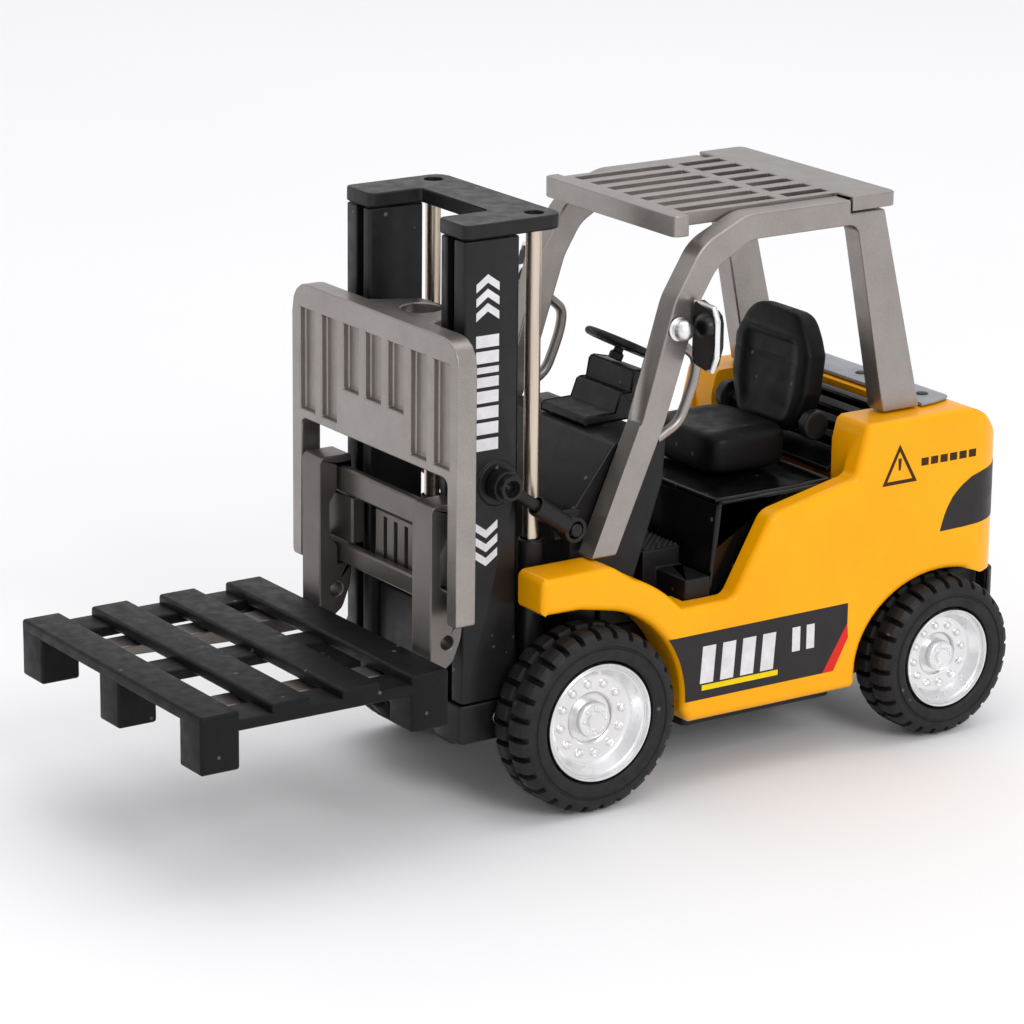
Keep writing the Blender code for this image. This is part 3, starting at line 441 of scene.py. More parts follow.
def surface_piece(name, grids, material, body, slot, *replaced, sharp=35):
    """One piece from several grids in mm. Doubles are merged, so seams and poles close."""
    corners, faces, count = [], [], 0
    for points, wrap_u, wrap_v in grids:
        corners.append(points.reshape(-1, 3))
        faces.append(quads_of(points, wrap_u, wrap_v, count))
        count += len(corners[-1])
    mesh = bpy.data.meshes.new(name)
    mesh.from_pydata(np.concatenate(corners) * MM, [], np.concatenate(faces).tolist())
    shape = bmesh.new()
    shape.from_mesh(mesh)
    bmesh.ops.remove_doubles(shape, verts=shape.verts, dist=POLE_GAP_MM * MM)
    bmesh.ops.recalc_face_normals(shape, faces=shape.faces)
    shape.to_mesh(mesh)
    shape.free()
    mesh.shade_smooth()
    mesh.set_sharp_from_angle(angle=math.radians(sharp))
    mesh.materials.append(material)
    return settle(bpy.data.objects.new(name, mesh), body, slot, *replaced)


def denser(knots, step):
    """Points along a polyline of knots, no further apart than step."""
    knots = np.asarray(knots, float)
    gaps = np.maximum(1, np.ceil(np.linalg.norm(np.diff(knots, axis=0), axis=1) / step).astype(int))
    share = np.concatenate([i + np.arange(n) / n for i, n in enumerate(gaps)] + [[len(gaps)]])
    index = np.arange(len(knots))
    return np.stack([np.interp(share, index, knots[:, c]) for c in range(knots.shape[1])], -1)


def turned(profile, centre, axis="X", flip=1, count=64):
    """Each (radius, height) goes to centre + radius * (cos a, sin a) across the axis + height along it."""
    profile = np.asarray(profile, float)
    angle = np.linspace(0, 2 * np.pi, count, endpoint=False)[:, None]
    across = profile[None, :, 0] * np.cos(angle), profile[None, :, 0] * np.sin(angle)
    along = np.broadcast_to(profile[None, :, 1] * flip, across[0].shape)
    order = {"X": (along, *across), "Y": (across[1], along, across[0]), "Z": (*across, along)}[axis]
    return np.stack(order, -1) + np.asarray(centre, float), True, False


def capped(points):
    """A tube with one more row at each end, all of it at the middle of that end, so the end is closed."""
    caps = [np.repeat(points[i].mean(axis=0)[None, None], points.shape[1], axis=1) for i in (0, -1)]
    return np.concatenate([caps[0], points, caps[1]])


def carried(path, normal, section, closed):
    """Each section point (a, b) goes to path + a * side + b * normal, where side = tangent x normal."""
    path = np.asarray(path, float)
    normal = np.asarray(normal, float)
    if closed:
        tangent = np.roll(path, -1, axis=0) - np.roll(path, 1, axis=0)
    else:
        tangent = np.gradient(path, axis=0)
    side = np.cross(tangent, normal)
    side /= np.linalg.norm(side, axis=1, keepdims=True)
    section = np.asarray(section, float)
    points = path[:, None] + section[None, :, :1] * side[:, None] + section[None, :, 1:] * normal
    return points if closed else capped(points), closed, True


def oval(a, b, count=12):
    """An ellipse with half-widths a and b, as a section."""
    angle = np.linspace(0, 2 * np.pi, count, endpoint=False)
    return np.stack([a * np.cos(angle), b * np.sin(angle)], -1)


def mark(name, outlines, x, side, material, body="truck"):
    """Flat print on a side face: outlines of (y from the axle, z) filled and given the film's thickness."""
    shape = bmesh.new()
    for outline in outlines:
        corners = [shape.verts.new((side * x * MM, (y + AXLE_Y) * MM, z * MM)) for y, z in outline]
        shape.faces.new(corners)
    bmesh.ops.recalc_face_normals(shape, faces=shape.faces)
    bmesh.ops.solidify(shape, geom=shape.faces[:], thickness=INK_FILM * MM)
    ground, outward = side * x * MM, side * (x + INK_FILM) * MM
    for vert in shape.verts:
        vert.co.x = ground if abs(vert.co.x - ground) < ROUNDING else outward
    bmesh.ops.recalc_face_normals(shape, faces=shape.faces)
    mesh = bpy.data.meshes.new(name)
    shape.to_mesh(mesh)
    shape.free()
    mesh.materials.append(material)
    return settle(bpy.data.objects.new(name, mesh), body, "black_satin")


print("a section of", len(oval(1, 1)), "points is enough for a thin bar")

# %% [markdown]
# ## Tyres
# The rubber tyre has a smooth sidewall with one raised ring, and two rows of blocks, half a
# pitch apart, that wrap over both shoulders. The surface is a closed profile turned about the
# axle. Where a groove runs, no point may stand further out than the groove's floor, so the
# grooves fade away by themselves at the foot of each shoulder.

# %% Tyres
LUGS = 28
LUG_STEPS = np.array([0.0, 0.04, 0.16, 0.28, 0.32, 0.41, 0.5, 0.54, 0.66, 0.78, 0.82, 0.91])
GROOVE_SHARE = [0.0, 0.04, 0.28, 0.32, 1.0]
GROOVE_AMOUNT = [0.0, 1.0, 1.0, 0.0, 0.0]
GROOVE_DEPTH = 1.25
MIDDLE_GROOVE, MIDDLE_SLOPE = 0.45, 0.2
BEAD_ABOVE_RIM = 0.3


def tyre_grid(radius, bead, width, centre, side):
    """r(a, s) = profile radius, but at most the groove floor where the block pattern leaves a gap."""
    half = [
        (bead, 1.3), (bead + 0.15, 0.5), (bead + 0.6, 0.12), (bead + 1.5, 0.0), (radius - 3.1, 0.0),
        (radius - 2.9, 0.0), (radius - 2.75, 0.22), (radius - 2.5, 0.24), (radius - 2.35, 0.05),
        (radius - 1.6, 0.12), (radius - 1.0, 0.4), (radius - 0.35, 0.95), (radius, 1.9),
    ]
    far = [(r, width - d) for r, d in reversed(half)]
    profile = denser([*half, *far, (bead, 1.3)], 0.45)[:-1]
    turn = (np.arange(LUGS)[:, None] + LUG_STEPS).reshape(-1)
    angle = (turn / LUGS * 2 * np.pi)[:, None]
    depth = profile[:, 1]
    shift = np.where(depth < width / 2, 0.0, 0.5)
    groove = np.interp((turn[:, None] + shift) % 1.0, GROOVE_SHARE, GROOVE_AMOUNT)
    middle = np.clip((MIDDLE_GROOVE - np.abs(depth - width / 2)) / MIDDLE_SLOPE, 0, 1)
    groove = np.maximum(groove, middle)
    floor = radius - GROOVE_DEPTH
    r = profile[:, 0]
    r = np.where(r > floor, r - groove * (r - floor), r)
    x = centre[0] - side * depth + 0 * r
    return np.stack([x, centre[1] + r * np.cos(angle), centre[2] + r * np.sin(angle)], -1)


for end in ("front", "rear"):
    for side_name, side in SIDES:
        node = f"{end}_tyre_{side_name}"
        low, high = box_mm(node)
        radius = (high[2] - low[2]) / 2
        centre = np.array([high[0] if side > 0 else low[0], (low[1] + high[1]) / 2, radius])
        rim_low, rim_high = box_mm(f"{end}_rim_{side_name}")
        bead = (rim_high[2] - rim_low[2]) / 2 + BEAD_ABOVE_RIM
        grid = tyre_grid(radius, bead, high[0] - low[0], centre, side)
        surface_piece(
            node + "_tread", [(grid, True, True)], RUBBER, f"{end}_wheels", "rubber", node, sharp=28
        )
        print(node, "radius", round(float(radius), 2), "mm, quads", grid.shape[0] * grid.shape[1])

# %% [markdown]
# ## Rims
# The plated rims are deep dishes: a double lip, a sloping wall, a floor with twelve domed
# bosses, and a raised hub in a sunk ring. The dish is one turned profile, and each boss is a
# small turned dome set on its floor.

# %% Rims
DRAWN_RADIUS = 9.7
RIM_PROFILE = [
    (0, -1.45), (1.35, -1.45), (1.5, -1.6), (1.55, -1.85), (2.6, -1.85), (2.85, -2.0), (2.95, -2.3),
    (3.0, -4.0), (3.75, -4.0), (4.0, -3.9), (4.15, -3.35), (4.4, -3.15), (7.0, -3.1), (7.35, -3.0),
    (7.6, -2.7), (8.35, -1.35), (8.5, -1.05), (8.75, -0.92), (8.95, -1.0), (9.05, -1.15), (9.2, -1.1),
    (9.3, -0.55), (9.4, -0.35), (9.55, -0.3), (9.66, -0.4), (DRAWN_RADIUS, -0.6),
]
# For each ring of domes: how many, first angle, ring radius, dome radius, dome height, floor, corners.
DOME_RINGS = ((12, 0.13, 5.85, 0.72, 0.75, -3.2, 16), (8, 0.0, 2.1, 0.32, 0.35, -1.95, 10))


def dome(radius, height, base):
    """A turned profile: a short straight foot under a quarter of an ellipse."""
    angle = np.linspace(0, np.pi / 2, 5)
    cap = [(radius * math.cos(a), base + height * (0.25 + 0.75 * math.sin(a))) for a in angle]
    return [(radius, base), *cap]


for end in ("front", "rear"):
    for side_name, side in SIDES:
        node = f"{end}_rim_{side_name}"
        low, high = box_mm(node)
        tyre_low, tyre_high = box_mm(f"{end}_tyre_{side_name}")
        edge = (high[2] - low[2]) / 2
        face = tyre_high[0] if side > 0 else tyre_low[0]
        centre = np.array([face, (low[1] + high[1]) / 2, (low[2] + high[2]) / 2])
        scale = edge / DRAWN_RADIUS
        inner_face = -(high[0] - low[0]) - 0.3
        closing = [(DRAWN_RADIUS, inner_face), (1.8, inner_face), (1.8, -4.6), (0, -4.6)]
        profile = denser(np.array(RIM_PROFILE + closing) * (scale, 1), 0.6)
        grids = [turned(profile, centre, "X", side, 96)]
        for count, first, ring, dome_radius, dome_height, floor, corners in DOME_RINGS:
            for angle in np.arange(count) * 2 * np.pi / count + first:
                at = centre + (0, ring * scale * math.cos(angle), ring * scale * math.sin(angle))
                grids.append(turned(dome(dome_radius * scale, dome_height, floor), at, "X", side, corners))
        surface_piece(node + "_dish", grids, PLATING, f"{end}_wheels", "chrome", node)
        print(node, "radius", round(float(edge), 2), "mm")

# %% [markdown]
# ## Rods
# The two lift rods are ground steel, so they are truly round, with a small chamfer at the top.

# %% Rods
ROD_CHAMFER = 0.2
for side_name, side in SIDES:
    node = f"lift_rod_{side_name}"
    low, high = box_mm(node)
    radius = (high[0] - low[0]) / 2
    middle = (low + high) / 2
    half = (high[2] - low[2]) / 2
    shoulder = [(radius - ROD_CHAMFER, half), (radius, half - ROD_CHAMFER)]
    profile = [(0, half), *shoulder, (radius, -half), (0, -half)]
    surface_piece(
        node + "_ground", [turned(profile, middle, "Z", 1, 40)], STEEL_PAINTED_TAN_REFLECTION, "mast", "polished_steel", node
    )
    print(node, "radius", round(float(radius), 2), "mm, length", round(float(2 * half), 2), "mm")

# %% [markdown]
# ## Seat
# The seat is one hard moulding that imitates padding. The cushion is a rounded block: a
# superellipsoid, whose corners get squarer as its power falls, with a shallow dish pressed
# into the top and a raised roll at each side. The back is a stack of such sections that
# follows the real outline, with side wings and two pressed lines across it.


# %% Seat
CUSHION_POWER, CUSHION_DISH = 0.36, 0.5
DISH_WIDTH, DISH_LENGTH, DISH_FLOOR = 0.66, 0.86, 0.3
BACK_POWER = 0.3
BACK_HALF_DEPTH = 2.3
BACK_LEAN = math.radians(6)
BACK_FOOT = np.array([2.6, 0.1])
# Half widths of the back, in mm, against the share of its height.
BACK_OUTLINE = [
    (0.0, 5.6), (0.03, 7.2), (0.2, 9.0), (0.36, 10.1), (0.68, 10.2), (0.8, 8.9), (0.96, 6.6), (1.0, 6.0)
]
BACK_SHARE = 0.93
WING_PRESS, LINE_PRESS = 0.75, 0.35
WING_EDGE, WING_SLOPE = 0.72, 0.12
PRESS_FOOT, PRESS_TOP = 0.1, 0.78
# Each pressed line: its share of the height and its width.
PRESSED_LINES = ((0.8, 0.018), (0.58, 0.014))


def signed_power(value, power):
    """|value| ** power with the sign of value."""
    return np.sign(value) * np.abs(value) ** power


def cushion_grid(low, high, power, dish, count=72):
    """x, y, z = half size * signed powers of cos and sin, less a dish over the middle of the top."""
    u = np.linspace(0, 2 * np.pi, count, endpoint=False)[:, None]
    v = np.linspace(-np.pi / 2, np.pi / 2, count // 2)[None, :]
    x = signed_power(np.cos(u), power) * signed_power(np.cos(v), power)
    y = signed_power(np.sin(u), power) * signed_power(np.cos(v), power)
    z = signed_power(np.sin(v), power) + 0 * u
    hollow = np.clip(1 - (x / DISH_WIDTH) ** 4, 0, 1) * np.clip(1 - (y / DISH_LENGTH) ** 4, 0, 1)
    hollow = hollow * (z > DISH_FLOOR)
    half = (high - low) / 2
    points = np.stack([x, y, z], -1) * half + (low + high) / 2
    points[..., 2] -= dish * hollow
    return points, True, False


cushion_low, cushion_high = box_mm("seat_cushion")
seat_low = np.array([cushion_low[0], cushion_low[1], box_mm("seat_base")[0][2]])
surface_piece(
    "seat_cushion_moulding",
    [cushion_grid(seat_low, cushion_high, CUSHION_POWER, CUSHION_DISH)],
    ABS_DULL, "truck", "black_satin", "seat_cushion", "seat_base",
)

back_low, back_high = box_mm("seat_back")


def seat_back_grid(rows=64, count=72):
    """At each height a superellipse as wide as the outline; its front is pressed in between the wings."""
    share = np.linspace(0, 1, rows)[:, None]
    width = np.interp(share, *np.array(BACK_OUTLINE).T)
    closing = np.sqrt(np.clip(1 - np.abs(2 * share - 1) ** 14, 0, 1))
    angle = np.linspace(0, 2 * np.pi, count, endpoint=False)[None, :]
    x = signed_power(np.cos(angle), BACK_POWER) * width * (0.55 + 0.45 * closing)
    y = signed_power(np.sin(angle), BACK_POWER) * BACK_HALF_DEPTH * closing
    across = np.abs(x) / width
    between_wings = np.clip((WING_EDGE - across) / WING_SLOPE, 0, 1)
    between_wings = between_wings * np.clip((share - PRESS_FOOT) / 0.1, 0, 1)
    between_wings = between_wings * np.clip((PRESS_TOP - share) / 0.05, 0, 1)
    lines = sum(np.exp(-(((share - at) / wide) ** 2)) for at, wide in PRESSED_LINES)
    front = (y < 0) * 1.0
    y = y + front * (WING_PRESS * between_wings + LINE_PRESS * lines * np.clip(1.3 - across, 0, 1))
    z = share * (back_high[2] - back_low[2]) * BACK_SHARE + 0 * x
    tilted_y = y * math.cos(BACK_LEAN) + z * math.sin(BACK_LEAN)
    tilted_z = z * math.cos(BACK_LEAN) - y * math.sin(BACK_LEAN)
    foot_y, foot_z = back_low[1:] + BACK_FOOT
    points = np.stack([x, tilted_y + foot_y, tilted_z + foot_z], -1)
    return capped(points), False, True


surface_piece("seat_back_moulding", [seat_back_grid()], ABS_DULL, "truck", "black_satin", "seat_back")
print("seat cushion", np.round(cushion_high - seat_low, 2), "mm")
print("seat back", np.round(back_high - back_low, 2), "mm")

# %% [markdown]
# ## Steering wheel
# A round rim on three flat spokes and a cupped hub. It is worked out flat, with its axis
# upright, and then the whole array is leaned 27 degrees towards the driver.

# %% Steering wheel
WHEEL_LEAN = math.radians(-27)
wheel_low, wheel_high = box_mm("steering_wheel")
wheel_centre = (wheel_low + wheel_high) / 2
RING_RADIUS = 5.6
SPOKE_SINK = 0.5
RING_HALVES, SPOKE_HALVES = (0.72, 0.68), (0.75, 0.32)
HUB = [(0, 0.75), (1.0, 0.7), (1.5, 0.45), (1.75, 0.0), (1.6, -0.6), (0, -0.6)]
UPRIGHT = (0, 0, 1)
ring_angle = np.linspace(0, 2 * np.pi, 64, endpoint=False)
ring_path = np.stack([np.cos(ring_angle), np.sin(ring_angle), 0 * ring_angle], -1) * RING_RADIUS
wheel_grids = [carried(ring_path, UPRIGHT, oval(*RING_HALVES, 14), True)]
for angle in np.radians([-90, 30, 150]):
    reach = np.linspace(1.2, RING_RADIUS, 8)
    sunk = SPOKE_SINK * ((reach / RING_RADIUS) ** 2 - 1)
    spoke = np.stack([reach * math.cos(angle), reach * math.sin(angle), sunk], -1)
    wheel_grids.append(carried(spoke, UPRIGHT, oval(*SPOKE_HALVES, 10), False))
wheel_grids.append(turned(HUB, (0, 0, 0), "Z", 1, 32))
leaned = np.array(Matrix.Rotation(WHEEL_LEAN, 3, "X")).T
wheel_grids = [(points @ leaned + wheel_centre, u, v) for points, u, v in wheel_grids]
surface_piece(
    "steering_wheel_moulding", wheel_grids, ABS_SATIN, "steering_wheel", "black_satin", "steering_wheel"
)
print("steering wheel centre", np.round(wheel_centre, 2), "mm")

# %% [markdown]
# ## Pallet
# Every board, rail and block of the pallet is a rounded box: eight corners of a small sphere
# pulled apart to the box's size, so that its edges and corners are one continuous surface.


# %% Pallet
def pillow(low, high, radius, steps=5):
    """centre + sign * (half size - r) + r * (cos v cos u, cos v sin u, sin v), quadrant by quadrant."""
    low, high = np.asarray(low, float), np.asarray(high, float)
    half = (high - low) / 2
    quarter = np.linspace(0, np.pi / 2, steps)
    u = (np.arange(4)[:, None] * np.pi / 2 + quarter).reshape(-1)
    across = np.repeat([1, -1, -1, 1], steps)
    along = np.repeat([1, 1, -1, -1], steps)
    v = np.concatenate([quarter - np.pi / 2, quarter])
    rise = np.repeat([-1, 1], steps)
    x = across[None, :] * (half[0] - radius) + radius * np.cos(v)[:, None] * np.cos(u)[None, :]
    y = along[None, :] * (half[1] - radius) + radius * np.cos(v)[:, None] * np.sin(u)[None, :]
    z = (rise * (half[2] - radius) + radius * np.sin(v))[:, None] + 0 * x
    points = np.stack([x, y, z], -1) + (low + high) / 2
    return capped(points), False, True


BOARDS, BOARD_DEPTH, BOARD_THICK = 4, 6.7, 2.0
BLOCK_DEPTH, OUTER_WIDTH, MIDDLE_HALF = 6.7, 6.6, 3.1
RAIL_BELOW, RAIL_INTO_BOARD, RAIL_INSET = 1.2, 0.6, 0.05
EDGE, RAIL_EDGE, HAIR = 0.5, 0.35, 0.02
low, high = box_mm("pallet")
pitch = (high[1] - low[1] - BOARD_DEPTH) / (BOARDS - 1)
board_z = high[2] - BOARD_THICK
boxes = []
for i in range(BOARDS):
    front = low[1] + pitch * i
    boxes.append(pillow((low[0], front, board_z), (high[0], front + BOARD_DEPTH, high[2]), EDGE))
lines = ((low[0], low[0] + OUTER_WIDTH), (-MIDDLE_HALF, MIDDLE_HALF), (high[0] - OUTER_WIDTH, high[0]))
for right, left in lines:
    rail_low = (right + RAIL_INSET, low[1] + RAIL_INSET, board_z - RAIL_BELOW)
    rail_high = (left - RAIL_INSET, high[1] - RAIL_INSET, board_z + RAIL_INTO_BOARD)
    boxes.append(pillow(rail_low, rail_high, RAIL_EDGE))
    for front in (low[1] + HAIR, high[1] - HAIR - BLOCK_DEPTH):
        block_high = (left - HAIR, front + BLOCK_DEPTH, high[2] - HAIR)
        boxes.append(pillow((right + HAIR, front, low[2]), block_high, EDGE))
surface_piece("pallet_moulding", boxes, ABS_DULL, "pallet", "black_satin", "pallet")
print("pallet of", len(boxes), "rounded boxes, boards", round(float(pitch), 2), "mm apart")

# %% [markdown]
# ## Tilt bolts
# Each tilt cylinder is held on the mast by a bolt: a plain shank through the eye of its rod, and
# a head with a raised rim round a sunk face and a small pin in the middle. It is turned from one
# profile.

# %% Tilt bolts
BOLT_FOOT = 2.0
BOLT_PROFILE = [
    (0, 3.3), (0.35, 3.3), (0.55, 3.15), (0.6, 2.95), (1.25, 2.9), (1.3, 4.2), (1.4, 4.38), (1.7, 4.4),
    (1.9, 4.3), (2.0, 4.1), (2.0, 3.5), (1.1, 3.5), (1.1, -BOLT_FOOT), (0, -BOLT_FOOT),
]
for side_name, side in SIDES:
    node = f"tilt_bolt_{side_name}"
    low, high = box_mm(node)
    middle = (low + high) / 2
    foot = ((low if side > 0 else high)[0] + side * BOLT_FOOT, middle[1], middle[2])
    surface_piece(
        node + "_head", [turned(BOLT_PROFILE, foot, "X", side, 40)], ABS_SATIN,
        frame["nodes"][node]["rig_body"], "black_satin", node,
    )
    print(node, "stands on x =", round(float(foot[0]), 2), "mm")

# %% [markdown]
# ## Grab handles
# Each handle is a bent bar behind the front post. Its path is a quadratic B-spline through the
# middle of the frame's solid, so it has no kinks, with an oval section carried along it.

# %% Grab handles
# Points of (y from the axle, z), from the upper foot to the lower one.
HANDLE = [(21.3, 71.0), (23.2, 69.4), (22.9, 66.3), (21.4, 62.4), (19.9, 59.2), (16.8, 57.7)]


def smooth_path(knots, count=10):
    """A quadratic B-spline: each point blends three knots with the weights (1-t)^2/2, 1/2+t-t^2, t^2/2."""
    knots = np.asarray(knots, float)
    knots = np.concatenate([2 * knots[:1] - knots[1:2], knots, 2 * knots[-1:] - knots[-2:-1]])
    t = np.linspace(0, 1, count, endpoint=False)[None, :, None]
    a, b, c = (knots[i : len(knots) - 2 + i][:, None] for i in range(3))
    blend = a * (1 - t) ** 2 / 2 + b * (0.5 + t - t**2) + c * t**2 / 2
    return blend.reshape(-1, knots.shape[1])


for side_name, side in SIDES:
    node = f"grab_handle_{side_name}"
    low, high = box_mm(node)
    flat = smooth_path(HANDLE)
    middle = (low[0] + high[0]) / 2
    path = np.stack([np.full(len(flat), middle), flat[:, 0] + AXLE_Y, flat[:, 1]], -1)
    handle = carried(path, (1, 0, 0), oval(0.85, 0.9, 14), False)
    surface_piece(node + "_bar", [handle], PEWTER, "truck", "pewter_paint", node)
    print(node, "path of", len(path), "points")

# %% [markdown]
# ## Mirrors
# The stud is a plated ball on a collar. The glossy housing has a plated band round its edge,
# carried along the outline of the housing.

# %% Mirror studs and bands
COLLAR = [(0, 0), (1.9, 0), (1.95, 0.25), (1.6, 0.42), (1.25, 0.45)]
BALL = [(1.72 * math.cos(a), 1.25 + 1.6 * math.sin(a)) for a in np.linspace(-0.9, np.pi / 2, 14)]
BAND_Y = 0.55
for side_name, side in SIDES:
    node = f"mirror_stud_{side_name}"
    low, high = box_mm(node)
    foot = low[0] if side > 0 else high[0]
    centre = (foot, (low[1] + high[1]) / 2, (low[2] + high[2]) / 2)
    surface_piece(
        node + "_ball", [turned(COLLAR + BALL, centre, "X", side, 40)], PLATING, "truck", "chrome", node
    )
    low, high = box_mm(f"mirror_{side_name}")
    near, far = (low[0], high[0]) if side > 0 else (high[0], low[0])
    edge = [
        (near + side * 0.5, low[2] + 0.9),
        (far - side * 1.3, low[2] + 0.3),
        (far - side * 0.3, low[2] + 2.6),
        (far - side * 0.25, high[2] - 2.4),
        (far - side * 1.2, high[2] - 0.5),
        (near + side * 0.5, high[2] - 0.3),
    ]
    flat = denser([*edge, edge[0]], 1.0)[:-1]
    path = np.stack([flat[:, 0], np.full(len(flat), low[1] + BAND_Y), flat[:, 1]], -1)
    surface_piece(
        f"mirror_{side_name}_band", [carried(path, (0, 1, 0), oval(0.4, 0.5, 10), True)],
        PLATING, "truck", "chrome",
    )
    print(f"mirror_{side_name}", "housing", np.round(high - low, 2), "mm")

# %% [markdown]
# ## The plinth's bead and the tread mat
# A glossy bead runs round the top of the plinth under the seat. The mat on the toe board is
# a field of low studs: its height is the product of two sines, cut off below zero.

# %% Plinth bead and tread mat
hood_low, hood_high = box_mm("engine_hood")
BEAD_INSET, BEAD_FRONT_INSET, BEAD_RISE = 1.0, 1.9, 0.02
right, left = hood_low[0] + BEAD_INSET, hood_high[0] - BEAD_INSET
front, rear = hood_low[1] + BEAD_FRONT_INSET, hood_high[1] - BEAD_INSET
flat = denser([(right, front), (left, front), (left, rear), (right, rear), (right, front)], 1.2)[:-1]
path = np.stack([flat[:, 0], flat[:, 1], np.full(len(flat), hood_high[2] + BEAD_RISE)], -1)
bead = carried(path, UPRIGHT, oval(0.55, 0.4, 12), True)
surface_piece("plinth_bead", [bead], ABS_GLOSS, "truck", "black_gloss")

MAT_HALF_WIDTH, MAT_FRONT, MAT_REAR, MAT_TOP = 12.6, 18.0, 24.6, 36.7
MAT_PITCH, MAT_STUDS, MAT_STEP, MAT_SKIRT = 1.1, 0.3, 0.14, 0.15


def mat_grid(low, high, top):
    """z = top + studs * max(0, sin(2 pi x / pitch) * sin(2 pi y / pitch)), with a skirt all round."""
    x = np.linspace(low[0], high[0], int((high[0] - low[0]) / MAT_STEP))[:, None]
    y = np.linspace(low[1], high[1], int((high[1] - low[1]) / MAT_STEP))[None, :]
    wave = np.sin(2 * np.pi * x / MAT_PITCH) * np.sin(2 * np.pi * y / MAT_PITCH)
    z = top + MAT_STUDS * np.clip(wave, 0, 1)
    grid = np.stack([x + 0 * z, y + 0 * z, z], -1)
    foot = (0, 0, top - MAT_SKIRT)
    ends = [grid[[i]] * (1, 1, 0) + foot for i in (0, -1)]
    ring = np.concatenate([ends[0], grid, ends[1]])
    sides = [ring[:, [i]] * (1, 1, 0) + foot for i in (0, -1)]
    return np.concatenate([sides[0], ring, sides[1]], 1)


mat = mat_grid((-MAT_HALF_WIDTH, MAT_FRONT + AXLE_Y), (MAT_HALF_WIDTH, MAT_REAR + AXLE_Y), MAT_TOP)
surface_piece("tread_mat", [(mat, False, False)], ABS_SATIN, "truck", "black_satin", sharp=60)
print("tread mat of", mat.shape[0], "by", mat.shape[1], "points")

# %% [markdown]
# ## Deck plate
# The grey plate lies on the counterweight and bends down with its crest: its height drops by
# r - sqrt(r^2 - d^2), where d is the distance behind the line at which the crest starts. The
# rounded outline is shrunk towards its middle in rings, and the last rings fold over the rim.
# Three dark, domed screw heads hold it.

# %% Deck plate and screws
CREST_START, CREST_RADIUS = 73.3, 7.0
PLATE_OUTLINE = [(20.8, 67.8), (20.3, 71.0), (19.4, 74.0), (17.6, 75.8), (14.6, 76.4), (0.0, 76.4)]
PLATE_THICK = 0.5
PLATE_TOP = box_mm("deck_plate")[0][2] + PLATE_THICK
PLATE_MIDDLE = np.array([0, 72.4])
# Each ring of the plate: its share of the outline, and its height over the plate's top.
PLATE_RINGS = np.array([
    (0, 0), (0.3, 0), (0.6, 0), (0.8, 0), (0.9, 0), (0.97, 0), (0.992, -0.03), (1, -0.15),
    (1, -PLATE_THICK), (0, -PLATE_THICK),
])
SCREW_PROFILE = [(0, 0.34), (0.55, 0.34), (0.85, 0.26), (1.1, 0.1), (1.2, -0.3), (0, -0.3)]
SCREW_X, SCREW_Y = 16.0, 71.6


def crest_drop(y_from_axle):
    """How far the crest has fallen at y, in mm."""
    behind = np.clip(y_from_axle - CREST_START, 0, CREST_RADIUS)
    return CREST_RADIUS - np.sqrt(CREST_RADIUS**2 - behind**2)


half_outline = denser(PLATE_OUTLINE, 0.8)
front_corner = np.array(PLATE_OUTLINE[0])
front_edge = denser([front_corner * (-1, 1), front_corner], 0.8)[1:-1]
outline = np.concatenate([half_outline, half_outline[-2::-1] * (-1, 1), front_edge])
flat = PLATE_MIDDLE + (outline - PLATE_MIDDLE)[None] * PLATE_RINGS[:, None, :1]
height = PLATE_TOP + PLATE_RINGS[:, None, 1] - crest_drop(flat[..., 1])
plate = np.stack([flat[..., 0], flat[..., 1] + AXLE_Y, height], -1)
surface_piece(
    "deck_plate_skin", [(plate, False, True)], GREY_ABS, "truck", "grey_plate", "deck_plate", sharp=50
)
for place, x in (("right", -SCREW_X), ("middle", 0.0), ("left", SCREW_X)):
    head = turned(SCREW_PROFILE, (x, SCREW_Y + AXLE_Y, PLATE_TOP), "Z", 1, 32)
    surface_piece(f"deck_screw_{place}", [head], ABS_GLOSS, "truck", "black_gloss")
print("deck plate falls", round(float(np.ptp(height)), 2), "mm over the crest")

# %% [markdown]
# ## Printed marks
# The toy is pad printed: thin films of ink with crisp edges. The marks here are plain shapes
# only: a dark band with a red slash and white bars along the sill, a wedge at the rear corner,
# a triangle with a bar, and chevrons and bars up the mast. Each is a flat outline with the
# thickness of a film of ink, drawn a little thicker than it is.

# %% Marks on the body
ARCH_RADIUS, ARCH_Z = 17.85, 15.0
arch = np.radians(np.linspace(36.5, -1.5, 14))
arch_edge = [(ARCH_RADIUS * math.cos(a), ARCH_Z + ARCH_RADIUS * math.sin(a)) for a in arch]
SILL_BAND = [*arch_edge, (45.4, 14.6), (50.3, 22.4), (50.3, 25.8)]
SLASH = [(50.3, 22.4), (50.5, 19.9), (47.6, 14.6), (45.4, 14.6)]
WEDGE_START, WEDGE_END_DEGREES = 69.1, 62
WEDGE_TOP = [
    (WEDGE_START, 35.2), (69.7, 37.2), (70.5, 39.0), (71.6, 40.7), (73.4, 42.3), (75.6, 43.6),
    (78.0, 44.2), (84.0, 44.8),
]
WEDGE_FOOT = [(WEDGE_START, 35.0), (74.0, 35.1), (84.0, 35.7)]
CORNER_RADIUS, CORNER_EASE = 8.0, 0.1
CORNER_START_Y = box_mm("body_shell")[1][1] - AXLE_Y + CORNER_EASE - CORNER_RADIUS


def bar(front, rear, foot, top, slant=0.0):
    """A bar with an upright or slanting side, as a four-cornered outline."""
    return [(front, foot), (rear, foot), (rear + slant, top), (front + slant, top)]


SILL_BARS = [bar(y, y + 2.6, 17.2, 23.4, 0.5) for y in (20.6, 24.6, 28.6, 32.6)]
SMALL_BARS = [bar(y, y + 1.6, 19.4, 23.5) for y in (39.0, 41.9)]
LEMON_BARS = [bar(21.0, 36.2, 16.0, 16.9)]


